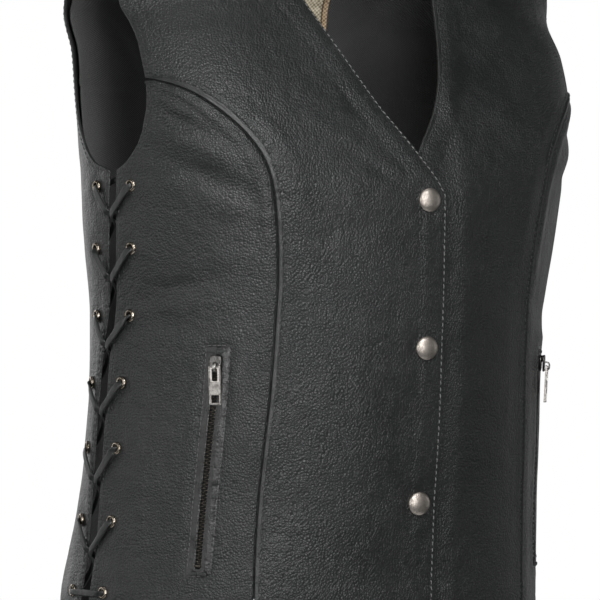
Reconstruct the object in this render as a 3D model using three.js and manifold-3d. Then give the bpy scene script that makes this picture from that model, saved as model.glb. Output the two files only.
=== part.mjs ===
// Woman's hip-length leather vest: V neck, snap front, curved princess seams into the
// armholes, one slanted zip pocket a side, laced side openings, open armholes.
// Millimetres. +Z up, -Y front, +X the wearer's left. Origin midway between the two
// shoulder neck points.
import * as THREE from 'three';
import { mergeVertices } from 'three/addons/utils/BufferGeometryUtils.js';
import Module from 'manifold-3d';

const wasm = await Module();
wasm.setup();

// ---- driving sizes ---------------------------------------------------------
const LEATHER = 1.5;          // outer leather wall
const LINING = 0.9;           // back lining wall
const LINING_DEPTH = 3.8;     // how deep the lining hangs inside the back
const SEAM = 0.3;             // gap between neighbouring pieces
const LAP = 15;               // each front runs this far past the centre line
const LAP_DROP = 2.4;         // the under front lies this much deeper
const HEM = -502;             // row of the hem
const TOP = 15;               // row of the shoulder seam
const SNAP_R = 7.5, SNAP_H = 3.0, SNAP_ROWS = [-231, -327, -428];
const EYE_HOLE = 3.1, EYE_IN = 2.3, EYE_OUT = 4.3, EYE_EDGE = 14.5;
const EYE_ROWS = [-222, -262.5, -306, -349.5, -392, -439.5, -486];
const LACE_R = 1.1;
const STANCE = 0.0523;                  // the form leans: its hem is this much further back for each mm down
const ZIP = { top: -327.5, bottom: -471.5, psiTop: 51.7, psiBottom: 53.8, frame: 17, window: 9.2, tape: 8.2, rise: 1.0, lift: 0.7 };

// ---- body form: one row a level ---------------------------------------------
// columns: row, height, half width, front depth, back depth, front fullness, back fullness
const FORM = [
  [-502, -502, 169.0, 128.5, 135.0, 2.10, 2.10],
  [-482, -482, 168.0, 128.5, 133.0, 2.10, 2.10],
  [-462, -462, 166.0, 128.6, 126.0, 2.10, 2.10],
  [-430, -430, 165.2, 128.8, 106.0, 2.10, 2.10],
  [-395, -395, 164.4, 130.6, 90.5, 2.10, 2.10],
  [-350, -350, 163.2, 132.0, 87.0, 2.10, 2.10],
  [-306, -306, 163.2, 132.0, 92.5, 2.15, 2.10],
  [-261, -261, 168.2, 131.0, 93.5, 2.28, 2.15],
  [-228, -228, 170.4, 130.0, 96.5, 2.45, 2.20],
  [-198, -198, 170.8, 120.5, 102.0, 3.00, 2.30],
  [-162, -162, 172.5, 103.5, 105.0, 3.60, 2.40],
  [-127, -127, 174.0, 82.0, 101.0, 3.80, 2.65],
  [-94, -94, 176.5, 61.0, 98.0, 3.00, 3.20],
  [-65, -66, 184.0, 48.0, 85.0, 2.50, 2.80],
  [-40, -42, 194.0, 37.0, 66.0, 2.20, 2.40],
  [-22, -26, 201.0, 29.5, 49.0, 2.10, 2.20],
  [-8, -13, 205.0, 21.5, 33.0, 2.00, 2.00],
  [4, -4, 207.0, 13.0, 18.0, 2.00, 2.00],
  [10, -1.2, 208.0, 7.0, 9.0, 2.00, 2.00],
  [15, 0, 208.0, 0.3, 0.3, 2.00, 2.00],
];

// monotone cubic through a column of a table (first column is the key)
function through(table, col, key) {
  const n = table.length, X = i => table[i][0], Y = i => table[i][col];
  const d = [], m = [];
  for (let i = 0; i < n - 1; i++) d.push((Y(i + 1) - Y(i)) / (X(i + 1) - X(i)));
  m.push(d[0]);
  for (let i = 1; i < n - 1; i++) {
    if (d[i - 1] * d[i] <= 0) { m.push(0); continue; }
    const h0 = X(i) - X(i - 1), h1 = X(i + 1) - X(i), w1 = 2 * h1 + h0, w2 = h1 + 2 * h0;
    m.push((w1 + w2) / (w1 / d[i - 1] + w2 / d[i]));
  }
  m.push(d[n - 2]);
  const k = Math.min(Math.max(key, X(0)), X(n - 1));
  let i = 0;
  while (i < n - 2 && k > X(i + 1)) i++;
  const h = X(i + 1) - X(i), t = (k - X(i)) / h, t2 = t * t, t3 = t2 * t;
  return (2 * t3 - 3 * t2 + 1) * Y(i) + (t3 - 2 * t2 + t) * h * m[i]
       + (-2 * t3 + 3 * t2) * Y(i + 1) + (t3 - t2) * h * m[i + 1];
}
const smooth = t => { t = Math.min(Math.max(t, 0), 1); return t * t * (3 - 2 * t); };

// shoulder slope: how far a point at x drops below its row
const SLOPE = { from: 62, k: 0.44, soft: 18, fade: 165, neck: 80 };
const fall = x => { const e = Math.max(0, Math.abs(x) - SLOPE.from); return SLOPE.k * e * e / (e + SLOPE.soft); };
const drop = (x, v) => fall(x) * smooth((v + SLOPE.fade) / SLOPE.fade) - fall(SLOPE.neck) * smooth((v + SLOPE.fade) / SLOPE.fade);

// point of the form: psi in degrees from centre front (0) by the wearer's left side (90)
// to centre back (180), negative on the wearer's right; v the row
function form(psi, v) {
  const q = psi * Math.PI / 180, s = Math.sin(q), c = Math.cos(q), front = c >= 0;
  const a = through(FORM, 2, v), b = through(FORM, front ? 3 : 4, v), n = through(FORM, front ? 5 : 6, v);
  const rho = Math.pow(Math.pow(Math.abs(s), n) + Math.pow(Math.abs(c), n), 1 / n);
  const x = a * s / rho, h = through(FORM, 1, v), y = -b * c / rho - STANCE * h;
  return new THREE.Vector3(x, y, h - drop(x, v));
}
function normal(psi, v) {
  const du = form(psi + 0.25, v).sub(form(psi - 0.25, v));
  const lo = Math.max(v - 0.6, HEM), hi = Math.min(v + 0.6, TOP - 0.05);
  const n = du.cross(form(psi, hi).sub(form(psi, lo))).normalize();
  n.y *= 1 - smooth((v - TOP + 7) / 7);   // the seam edges on the shoulder stand square
  return n.normalize();
}
const onForm = (psi, v, off) => form(psi, v).addScaledVector(normal(psi, v), off);
// psi where the form reaches a given |x| (front or back) or a given y
function psiX(x, v, back) {
  const a = through(FORM, 2, v), n = through(FORM, back ? 6 : 5, v);
  const q = Math.pow(Math.min(Math.abs(x) / a, 0.99999), n);
  const p = Math.atan(Math.pow(q / (1 - q), 1 / n)) * 180 / Math.PI;
  return Math.sign(x || 1) * (back ? 180 - p : p);
}
function psiY(y, v) {
  const b = through(FORM, y < 0 ? 3 : 4, v), n = through(FORM, y < 0 ? 5 : 6, v);
  const q = Math.pow(Math.min(Math.abs(y) / b, 0.99999), n);
  const p = 90 - Math.atan(Math.pow(q / (1 - q), 1 / n)) * 180 / Math.PI;
  return y < 0 ? p : 180 - p;
}

// ---- edges of the panels (wearer's own side positive) -------------------------
// columns: row, x of the front edge and neckline on the wearer's right, the same on the left
const NECK = [[-502, -15, -15], [-228, -15, -15], [-222, -12, -14], [-200, 3, -2], [-168, 26, 20.7], [-131, 44, 36.5], [-94, 60, 48.5], [-55, 69, 61], [-20, 75.5, 73], [15, 80, 80]];
// columns: row, x of the princess seam
const PRINCESS = [[-502, 108.5], [-462, 108], [-429, 107], [-395, 105.5], [-362, 103.2], [-322, 101.8], [-295, 101.6], [-268, 103], [-241, 106], [-221, 110], [-206, 115], [-190, 125], [-173, 141], [-161, 155.5], [-153, 169]];
// columns: row, x of the armhole edge on the front
const ARM_FRONT = [[-153, 169.3], [-140, 170.0], [-127, 170.6], [-105, 171.6], [-85, 174], [-60, 175.5], [-20, 175.5], [15, 175]];
// columns: row, y of the side edge of the front, then of the armhole under the arm
const SIDE_FRONT = [[-502, 2], [-440, -2], [-350, -5], [-290, -14], [-240, -19], [-211, -20], [-209, -26], [-202, -35], [-194, -42], [-184, -47], [-168, -50], [-153, -49]];
// columns: row, gap between the laced edges
const GAP = [[-502, 10.5], [-440, 10], [-350, 9], [-290, 8.2], [-211, 8]];
// columns: row, y of the armhole edge on the back
const ARM_BACK = [[-211, -12], [-208.5, 0], [-203, 11], [-195, 20], [-186, 28], [-178, 34], [-161, 40], [-127, 46], [-94, 50]];
// columns: row, x of the armhole edge on the upper back
const ARM_BACK_TOP = [[-94, 170.0], [-60, 172], [-20, 174], [15, 175]];
// columns: x, row of the back neckline
const NAPE = [[0, -24], [25, -22.5], [50, -15], [68, -2], [80, 15]];

const neckPsi = (v, side = -1) => psiX(through(NECK, side < 0 ? 1 : 2, v), v, false);
const princessPsi = v => psiX(through(PRINCESS, 1, v), v, false);
const armFrontPsi = v => psiX(through(ARM_FRONT, 1, v), v, false);
const sideFrontPsi = v => psiY(through(SIDE_FRONT, 1, v), v);
const sideBackPsi = v => v <= -211 ? psiY(through(SIDE_FRONT, 1, v) + through(GAP, 1, v), v)
  : v <= -94 ? psiY(through(ARM_BACK, 1, v), v) : psiX(through(ARM_BACK_TOP, 1, v), v, true);

// ---- thin wall from a grid of points on the form -------------------------------
// at(i, j) gives [psi, row, depth]; the wall runs from that depth to depth + thick, inwards
function wall(cols, rows, at, thick) {
  const pos = [], idx = [], id = (i, j, k) => (k * (rows + 1) + j) * (cols + 1) + i;
  for (let k = 0; k < 2; k++) for (let j = 0; j <= rows; j++) for (let i = 0; i <= cols; i++) {
    const [psi, v, depth] = at(i, j), p = onForm(psi, v, -(depth + (k ? thick : 0)));
    pos.push(p.x, p.y, p.z);
  }
  const quad = (a, b, c, d) => idx.push(a, b, c, a, c, d);
  for (let j = 0; j < rows; j++) for (let i = 0; i < cols; i++) {
    quad(id(i, j, 0), id(i + 1, j, 0), id(i + 1, j + 1, 0), id(i, j + 1, 0));
    quad(id(i, j, 1), id(i, j + 1, 1), id(i + 1, j + 1, 1), id(i + 1, j, 1));
  }
  for (let i = 0; i < cols; i++) {
    quad(id(i, 0, 0), id(i, 0, 1), id(i + 1, 0, 1), id(i + 1, 0, 0));
    quad(id(i, rows, 0), id(i + 1, rows, 0), id(i + 1, rows, 1), id(i, rows, 1));
  }
  for (let j = 0; j < rows; j++) {
    quad(id(0, j, 0), id(0, j + 1, 0), id(0, j + 1, 1), id(0, j, 1));
    quad(id(cols, j, 0), id(cols, j, 1), id(cols, j + 1, 1), id(cols, j + 1, 0));
  }
  const g = new THREE.BufferGeometry();
  g.setAttribute('position', new THREE.Float32BufferAttribute(pos, 3));
  g.setIndex(idx);
  return outward(g);
}
// turn a closed mesh so its faces point out
function outward(g) {
  const p = g.attributes.position, ix = Array.from(g.index.array), A = new THREE.Vector3(), B = new THREE.Vector3(), C = new THREE.Vector3();
  let vol = 0;
  for (let i = 0; i < ix.length; i += 3) {
    A.fromBufferAttribute(p, ix[i]); B.fromBufferAttribute(p, ix[i + 1]); C.fromBufferAttribute(p, ix[i + 2]);
    vol += A.dot(B.cross(C));
  }
  if (vol < 0) { for (let i = 0; i < ix.length; i += 3) [ix[i + 1], ix[i + 2]] = [ix[i + 2], ix[i + 1]]; g.setIndex(ix); }
  return g;
}
// rows spread over a short list of [first row, last row, steps]
function spread(spans) {
  const out = [];
  spans.forEach(([a, b, n], k) => { for (let i = k ? 1 : 0; i <= n; i++) out.push(a + (b - a) * i / n); });
  return out;
}

// ---- solids: cutting and joining ------------------------------------------------
function solid(geometry) {
  const g = geometry.clone();
  for (const name of Object.keys(g.attributes)) if (name !== 'position') g.deleteAttribute(name);
  const m = mergeVertices(g, 1e-4);
  return new wasm.Manifold(new wasm.Mesh({ numProp: 3, vertProperties: new Float32Array(m.attributes.position.array), triVerts: new Uint32Array(m.index.array) }));
}
function shape(manifold) {
  const m = manifold.getMesh(), g = new THREE.BufferGeometry();
  g.setAttribute('position', new THREE.Float32BufferAttribute(m.vertProperties, 3));
  g.setIndex(Array.from(m.triVerts));
  return g;
}
// a frame on the form: n outwards, up along the rows, across towards larger psi
function frameAt(psi, v, off, lean = 0) {
  const o = onForm(psi, v, off), n = normal(psi, v);
  const up = form(psi + lean * 0.5, v + 0.5).sub(form(psi - lean * 0.5, v - 0.5));
  up.addScaledVector(n, -up.dot(n)).normalize();
  const across = new THREE.Vector3().crossVectors(up, n);
  return new THREE.Matrix4().makeBasis(across, up, n).setPosition(o);   // x across, y up, z outwards
}
const placed = (g, m) => { g.applyMatrix4(m); return g; };
function lathe(profile, segments) {
  const g = new THREE.LatheGeometry(profile.map(p => new THREE.Vector2(...p)), segments);
  g.rotateX(Math.PI / 2);               // axis along +Z
  return g;
}

// ---- looks in this file: plain colours ---------------------------------------------
const leather = new THREE.MeshStandardMaterial({ color: 0x1c1f1f, roughness: 0.45, metalness: 0 });
const satin = new THREE.MeshStandardMaterial({ color: 0x151515, roughness: 0.6, metalness: 0 });
const tan = new THREE.MeshStandardMaterial({ color: 0x9a8b6c, roughness: 0.9, metalness: 0 });
const nickel = new THREE.MeshStandardMaterial({ color: 0x9c948c, roughness: 0.35, metalness: 1 });
const bronze = new THREE.MeshStandardMaterial({ color: 0x6d5c46, roughness: 0.45, metalness: 1 });

const vest = new THREE.Group();
function add(name, geometry, material) {
  const g = geometry.clone();
  for (const k of Object.keys(g.attributes)) if (k !== 'position') g.deleteAttribute(k);
  const mesh = new THREE.Mesh(g, material);
  mesh.name = name;
  vest.add(mesh);
  return mesh;
}

// ---- panels ----------------------------------------------------------------------------
const seamPsi = SEAM / 2 / 2.4;         // half a seam gap as an angle on this form
// how deep a front lies at its own-side x: the wearer's left front passes under the right
const depthAt = (side, x) => side < 0 ? 0 : LAP_DROP * smooth((34 - x) / 17);

const SIDE_ROWS = spread([[HEM, -290, 9], [-290, -216, 3], [-216, -202, 3], [-202, -178, 2], [-178, -155, 3]]);
const CENTRE_ROWS = [...SIDE_ROWS, ...spread([[-153, -94, 4], [-94, -22, 3], [-22, TOP, 3]])];
function frontCentre(side) {
  const cols = 9;
  return wall(cols, CENTRE_ROWS.length - 1, (i, j) => {
    const v = CENTRE_ROWS[j], inner = neckPsi(v, side);
    const outer = (v < -153.1 ? princessPsi(v) : armFrontPsi(v)) - seamPsi;
    const psi = inner + (outer - inner) * i / cols;
    return [side * psi, v, depthAt(side, form(psi, v).x)];
  }, LEATHER);
}
function frontSide(side) {
  const cols = 7;
  return wall(cols, SIDE_ROWS.length - 1, (i, j) => {
    const v = SIDE_ROWS[j], inner = princessPsi(v) + seamPsi, outer = sideFrontPsi(v);
    return [side * (inner + (outer - inner) * i / cols), v, 0];
  }, LEATHER);
}
const BACK_ROWS = spread([[HEM, -370, 7], [-370, -290, 3], [-290, -216, 3], [-216, -203, 3], [-203, -178, 2], [-178, -94, 3], [-94, -60, 1], [-60, TOP, 5]]);
// the back from side to side; above row -60 its rows bend to the nape and the shoulders.
// s runs from -1 (wearer's right edge) to 1
function backPoint(s, row, inset) {
  if (row <= -60) {
    const e = 180 - sideBackPsi(row) - inset;
    return [180 - s * e, row];
  }
  const t = (row + 60) / (TOP + 60);
  const xe = through(ARM_BACK_TOP, 1, row) - inset * 2.4, xs = s * xe;
  const top = Math.abs(xs) >= 80 ? TOP : through(NAPE, 1, Math.abs(xs));
  const vv = -60 + (top + 60) * t;
  const p = psiX(Math.max(Math.abs(xs), 1e-6), vv, true);
  return [s < 0 ? 360 - p : p, vv];
}
function back(cols, rowList, inset, depth, thick, s0 = -1, s1 = 1) {
  return wall(cols, rowList.length - 1, (i, j) => [...backPoint(s0 + (s1 - s0) * i / cols, rowList[j], inset), depth], thick);
}
// a round hole through the wall at a place on the form
function drill(panel, psi, v, r, sides) {
  const bit = solid(new THREE.CylinderGeometry(r, r, 14, sides).rotateX(Math.PI / 2).applyMatrix4(frameAt(psi, v, 0)));
  return panel.subtract(bit);
}
const eyeFront = v => psiY(through(SIDE_FRONT, 1, v) - EYE_EDGE, v);
const eyeBack = v => psiY(through(SIDE_FRONT, 1, v) + through(GAP, 1, v) + EYE_EDGE, v);

const SIDES = [['R', -1], ['L', 1]];
for (const [tag, side] of SIDES) {
  add('front_centre_' + tag, frontCentre(side), leather);
  let panel = solid(frontSide(side));
  for (const v of EYE_ROWS) panel = drill(panel, side * eyeFront(v), v, EYE_HOLE, 8);
  add('front_side_' + tag, shape(panel), leather);
}
let backPanel = solid(back(20, BACK_ROWS, 0, 0, LEATHER));
for (const [, side] of SIDES) for (const v of EYE_ROWS) backPanel = drill(backPanel, side < 0 ? 360 - eyeBack(v) : eyeBack(v), v, EYE_HOLE, 8);
add('back', shape(backPanel), leather);
// satin lining of the back, inside the leather and short of its edges and eyelets
const LINING_ROWS = spread([[HEM + 24, -370, 5], [-370, -290, 2], [-290, -203, 3], [-203, -94, 3], [-94, -60, 1], [-60, TOP - 3, 4]]);
add('back_lining', back(16, LINING_ROWS, 15, LINING_DEPTH, LINING), satin);
// bare woven label below the nape, on the lining
const LABEL = { half: 70, low: -132, high: -66, thick: 0.6 };
add('label', wall(8, 3, (i, j) => {
  const v = LABEL.low + (LABEL.high - LABEL.low) * j / 3, x = LABEL.half * (i / 4 - 1);
  const p = psiX(Math.max(Math.abs(x), 1e-6), v, true);
  return [x < 0 ? 360 - p : p, v, LINING_DEPTH + LINING + 1.5];
}, LABEL.thick), tan);

// ---- snaps ---------------------------------------------------------------------------------
const CAP = [[0, 0], [7.5, 0], [7.5, 0.9], [6.2, 2.2], [3.6, 2.85], [0, 3.0]];
const SOCKET = [[0, 0], [5.5, 0], [5.5, -0.8], [3.0, -1.3], [2.4, -1.9], [0, -1.9]];
SNAP_ROWS.forEach((v, k) => {
  add('snap_cap_' + (k + 1), placed(lathe(CAP, 16), frameAt(0, v, SEAM)), nickel);
  add('snap_back_' + (k + 1), placed(lathe(SOCKET.slice().reverse(), 12), frameAt(0, v, -(LAP_DROP + LEATHER + SEAM + (k ? 0.1 : 1.1)))), nickel);
});

// ---- slanted zip pockets -----------------------------------------------------------------------
const zipPsi = v => ZIP.psiTop + (ZIP.psiBottom - ZIP.psiTop) * (ZIP.top - v) / (ZIP.top - ZIP.bottom);
const zipLean = -(ZIP.psiBottom - ZIP.psiTop) / (ZIP.top - ZIP.bottom);   // psi per mm of rise
const degrees = mm => mm / 2.55;        // mm across the form here, as an angle
function zipStrip(side, halfWidth, over, low, high, cols = 2, rows = 10) {
  return wall(cols, rows, (i, j) => {
    const v = ZIP.bottom - over + (ZIP.top - ZIP.bottom + 2 * over) * j / rows;
    return [side * (zipPsi(v) + degrees(halfWidth) * (2 * i / cols - 1)), v, -high];
  }, high - low);
}
const PULL = { length: 25, width: 7.8, thick: 1.0, slotWidth: 3.7, slotLength: 8.2, hole: 5.2 };
const box = (w, h, d, x, y, z) => solid(new THREE.BoxGeometry(w, h, d).translate(x, y, z));
for (const [tag, side] of SIDES) {
  const ring = solid(zipStrip(side, ZIP.frame / 2, 2.5, ZIP.lift, ZIP.lift + ZIP.rise))
    .subtract(solid(zipStrip(side, ZIP.window / 2, -3.5, -3, 5)));
  add('pocket_welt_' + tag, shape(ring), leather);
  add('zip_tape_' + tag, zipStrip(side, ZIP.tape / 2, -4, ZIP.lift, ZIP.lift + 0.6), bronze);
  // slider near the top of the zip, with an arch that the pull hangs in
  const v = ZIP.top - 9.5, f = frameAt(side * zipPsi(v), v, ZIP.lift + 0.6 + 0.3, side * zipLean);
  let slider = box(8.0, 11, 2.6, 0, 0, 1.3);
  slider = slider.add(box(1.5, 1.2, 3.6, 0, 0.4, 4.0)).add(box(1.5, 1.2, 3.6, 0, -4.4, 4.0)).add(box(1.5, 6.0, 0.9, 0, -2, 5.75));
  add('zip_slider_' + tag, placed(shape(slider), f), nickel);
  // pull: a plate with a slot that the arch passes through; its end bar lies under the arch
  const { length, width, thick, slotWidth, slotLength, hole } = PULL;
  let plate = box(width, length, thick, 0, -2 - length / 2 + 0.8, 4.0);
  plate = plate.subtract(box(slotWidth, slotLength, 4, 0, -2 - 0.8 - slotLength / 2, 4.0));
  plate = plate.subtract(box(hole, hole, 4, 0, -2 + 0.8 - length + 1.25 + hole / 2, 4.0));
  add('zip_pull_' + tag, placed(shape(plate), f), nickel);
}

// ---- eyelets and side laces ------------------------------------------------------------------------
const EYELET = [[EYE_IN, -1.9], [EYE_IN + 0.45, -1.9], [EYE_IN + 0.45, 0.75], [EYE_OUT, 0.75], [EYE_OUT - 1.0, 1.45], [EYE_IN, 1.3]];
const eyeRing = () => lathe([...EYELET, EYELET[0]], 8);
for (const [tag, side] of SIDES) EYE_ROWS.forEach((v, k) => {
  add('eyelet_front_' + tag + (k + 1), placed(eyeRing(), frameAt(side * eyeFront(v), v, 0)), bronze);
  add('eyelet_back_' + tag + (k + 1), placed(eyeRing(), frameAt(side * eyeBack(v), v, 0)), bronze);
});
// One lace a side. It starts inside the opening at the top, comes out of the first eyelet,
// crosses the opening outside-to-inside down to the next eyelet of the other edge, and so
// on to the bottom bar, then back up the same way with the two runs crossing in the gap.
// columns: how far along a crossing, how far out of the form: first for the run that lies
// over at the crossing, then for the one that lies under
const CROSSING = [
  [0.00, 2.9, 2.9], [0.12, 3.3, 3.3], [0.33, 3.2, 3.3], [0.395, 3.0, 2.6],
  [0.48, 0.7, -2.6], [0.53, -1.9, -4.4], [0.60, -5.0, -5.0], [0.93, -5.4, -5.4],
];
function lacePath(side) {
  const y = (front, k) => { const v = EYE_ROWS[k], s = through(SIDE_FRONT, 1, v), g = through(GAP, 1, v); return front ? s - EYE_EDGE : s + g + EYE_EDGE; };
  const at = (yy, v, off) => onForm(side * psiY(yy, v), v, off);
  const pts = [];
  const last = EYE_ROWS.length - 1;
  // one run down from the top eyelet of an edge to the bottom; over = passes above
  const run = startFront => {
    const out = [];
    let front = startFront;
    const v0 = EYE_ROWS[0], y0 = y(front, 0), toGap = front ? 1 : -1;
    out.push(at(y0 + toGap * 14.5, v0 + (front ? -1.5 : 4), -5.2), at(y0 + toGap * 7, v0 + (front ? -1 : 2), -5.0), at(y0 + toGap * 1.2, v0, -4.8));
    for (let k = 0; k < last; k++) {
      const ya = y(front, k), yb = y(!front, k + 1), va = EYE_ROWS[k], vb = EYE_ROWS[k + 1];
      out.push(at(ya, va, -2.4), at(ya, va, 0.6));
      const over = front;             // the run leaving a front eyelet lies over
      for (const [t, hi, lo] of CROSSING) out.push(at(ya + (yb - ya) * Math.max(t, 0.03), va + (vb - va) * Math.max(t, 0.03), over ? hi : lo));
      front = !front;
    }
    out.push(at(y(front, last), EYE_ROWS[last], -2.4), at(y(front, last), EYE_ROWS[last], 0.6));
    return [out, front];
  };
  const [down, endFront] = run(true), [up] = run(false);
  const ya = y(endFront, last), yb = y(!endFront, last), v = EYE_ROWS[last];
  pts.push(...down);
  for (const [t, off] of [[0.05, 2.9], [0.25, 2.8], [0.5, 2.5], [0.75, 2.8], [0.95, 2.9]]) pts.push(at(ya + (yb - ya) * t, v - 0.8, off));
  pts.push(...up.reverse());
  return pts;
}
function tube(points, r, sides) {
  // a closed round tube through the points, its section carried along without twist
  const n = points.length, pos = [], idx = [];
  const tan = i => points[Math.min(i + 1, n - 1)].clone().sub(points[Math.max(i - 1, 0)]).normalize();
  let t = tan(0), u = new THREE.Vector3(0, 0, 1).cross(t).normalize();
  for (let i = 0; i < n; i++) {
    const t2 = tan(i);
    u = u.clone().applyQuaternion(new THREE.Quaternion().setFromUnitVectors(t, t2)).addScaledVector(t2, 0);
    u.addScaledVector(t2, -u.dot(t2)).normalize();
    t = t2;
    const w = new THREE.Vector3().crossVectors(t, u);
    for (let k = 0; k < sides; k++) {
      const a = 2 * Math.PI * k / sides, p = points[i].clone().addScaledVector(u, r * Math.cos(a)).addScaledVector(w, r * Math.sin(a));
      pos.push(p.x, p.y, p.z);
    }
  }
  for (let i = 0; i < n - 1; i++) for (let k = 0; k < sides; k++) {
    const a = i * sides + k, b = i * sides + (k + 1) % sides;
    idx.push(a, b, b + sides, a, b + sides, a + sides);
  }
  for (let k = 1; k < sides - 1; k++) idx.push(0, k + 1, k, (n - 1) * sides, (n - 1) * sides + k, (n - 1) * sides + k + 1);
  const g = new THREE.BufferGeometry();
  g.setAttribute('position', new THREE.Float32BufferAttribute(pos, 3));
  g.setIndex(idx);
  return outward(g);
}
for (const [tag, side] of SIDES) add('lace_' + tag, tube(lacePath(side), LACE_R, 6), leather);

export default vest;
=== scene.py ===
# Leather vest: the finished surfaces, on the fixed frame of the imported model.
import bpy, math
import numpy as np
from mathutils import Vector, Matrix, Quaternion


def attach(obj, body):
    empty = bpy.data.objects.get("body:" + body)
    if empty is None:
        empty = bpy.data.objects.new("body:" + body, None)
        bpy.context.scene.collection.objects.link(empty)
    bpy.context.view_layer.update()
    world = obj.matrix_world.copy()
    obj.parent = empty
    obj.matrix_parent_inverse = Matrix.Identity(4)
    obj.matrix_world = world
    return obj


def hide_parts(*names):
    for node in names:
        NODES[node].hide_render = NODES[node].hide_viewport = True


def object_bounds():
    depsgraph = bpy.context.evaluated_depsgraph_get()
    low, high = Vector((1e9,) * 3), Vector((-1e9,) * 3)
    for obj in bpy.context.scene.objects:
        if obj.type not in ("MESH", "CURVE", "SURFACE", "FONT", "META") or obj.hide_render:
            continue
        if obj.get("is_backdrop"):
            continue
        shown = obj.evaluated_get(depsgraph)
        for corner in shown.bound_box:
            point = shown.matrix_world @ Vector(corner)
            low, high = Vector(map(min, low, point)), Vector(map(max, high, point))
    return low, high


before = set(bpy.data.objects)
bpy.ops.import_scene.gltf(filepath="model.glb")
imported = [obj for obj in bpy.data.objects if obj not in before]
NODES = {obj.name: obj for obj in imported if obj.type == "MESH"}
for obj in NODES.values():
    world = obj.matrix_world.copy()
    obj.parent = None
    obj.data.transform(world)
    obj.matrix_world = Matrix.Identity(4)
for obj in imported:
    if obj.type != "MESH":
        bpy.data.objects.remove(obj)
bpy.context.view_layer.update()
MM = 0.001

# ------------------------------------------------------------------ sizes (mm)
HEM, TOP, LEATHER = -502.0, 15.0, 1.5
LAP_DROP = 2.4
SNAP_ROWS = (-231, -327, -428)
EYE_ROWS = (-222, -262.5, -306, -349.5, -392, -439.5, -486)
EYE_EDGE, EYE_HOLE = 14.5, 3.1
ZIP = dict(top=-327.5, bottom=-471.5, psi_top=51.7, psi_bottom=53.8, frame=17.0, lift=0.7)
STITCH = 4.2
STANCE = 0.0523          # the form leans: its hem is this much further back for each mm down
SLOPE = dict(start=62, k=0.44, soft=18, fade=165, neck=80)

# columns: row, height, half width, front depth, back depth, front fullness, back fullness
FORM = np.array([
    [-502, -502, 169.0, 128.5, 135.0, 2.10, 2.10], [-482, -482, 168.0, 128.5, 133.0, 2.10, 2.10],
    [-462, -462, 166.0, 128.6, 126.0, 2.10, 2.10], [-430, -430, 165.2, 128.8, 106.0, 2.10, 2.10],
    [-395, -395, 164.4, 130.6, 90.5, 2.10, 2.10], [-350, -350, 163.2, 132.0, 87.0, 2.10, 2.10],
    [-306, -306, 163.2, 132.0, 92.5, 2.15, 2.10], [-261, -261, 168.2, 131.0, 93.5, 2.28, 2.15],
    [-228, -228, 170.4, 130.0, 96.5, 2.45, 2.20], [-198, -198, 170.8, 120.5, 102.0, 3.00, 2.30],
    [-162, -162, 172.5, 103.5, 105.0, 3.60, 2.40], [-127, -127, 174.0, 82.0, 101.0, 3.80, 2.65],
    [-94, -94, 176.5, 61.0, 98.0, 3.00, 3.20], [-65, -66, 184.0, 48.0, 85.0, 2.50, 2.80],
    [-40, -42, 194.0, 37.0, 66.0, 2.20, 2.40], [-22, -26, 201.0, 29.5, 49.0, 2.10, 2.20],
    [-8, -13, 205.0, 21.5, 33.0, 2.00, 2.00], [4, -4, 207.0, 13.0, 18.0, 2.00, 2.00],
    [10, -1.2, 208.0, 7.0, 9.0, 2.00, 2.00], [15, 0, 208.0, 0.3, 0.3, 2.00, 2.00]])
# columns: row, x of the front edge and neckline on the wearer's right, the same on the left
NECK = np.array([[-502, -15, -15], [-228, -15, -15], [-222, -12, -14], [-200, 3, -2], [-168, 26, 20.7], [-131, 44, 36.5], [-94, 60, 48.5], [-55, 69, 61], [-20, 75.5, 73], [15, 80, 80]], float)
# columns: row, x of the princess seam
PRINCESS = np.array([[-502, 108.5], [-462, 108], [-429, 107], [-395, 105.5], [-362, 103.2], [-322, 101.8], [-295, 101.6], [-268, 103], [-241, 106], [-221, 110], [-206, 115], [-190, 125], [-173, 141], [-161, 155.5], [-153, 169]], float)
# columns: row, x of the front's armhole edge
ARM_FRONT = np.array([[-153, 169.3], [-140, 170.0], [-127, 170.6], [-105, 171.6], [-85, 174], [-60, 175.5], [-20, 175.5], [15, 175]], float)
# columns: row, y of the front's laced edge, then of its armhole under the arm
SIDE_FRONT = np.array([[-502, 2], [-440, -2], [-350, -5], [-290, -14], [-240, -19], [-211, -20], [-209, -26], [-202, -35], [-194, -42], [-184, -47], [-168, -50], [-153, -49]], float)
# columns: row, gap between the laced edges
GAP = np.array([[-502, 10.5], [-440, 10], [-350, 9], [-290, 8.2], [-211, 8]], float)
# columns: row, y of the back's armhole edge
ARM_BACK = np.array([[-211, -12], [-208.5, 0], [-203, 11], [-195, 20], [-186, 28], [-178, 34], [-161, 40], [-127, 46], [-94, 50]], float)
# columns: row, x of the back's armhole edge higher up
ARM_BACK_TOP = np.array([[-94, 170.0], [-60, 172], [-20, 174], [15, 175]], float)
# columns: x, row of the back neckline
NAPE = np.array([[0, -24], [25, -22.5], [50, -15], [68, -2], [80, 15]], float)


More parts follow.
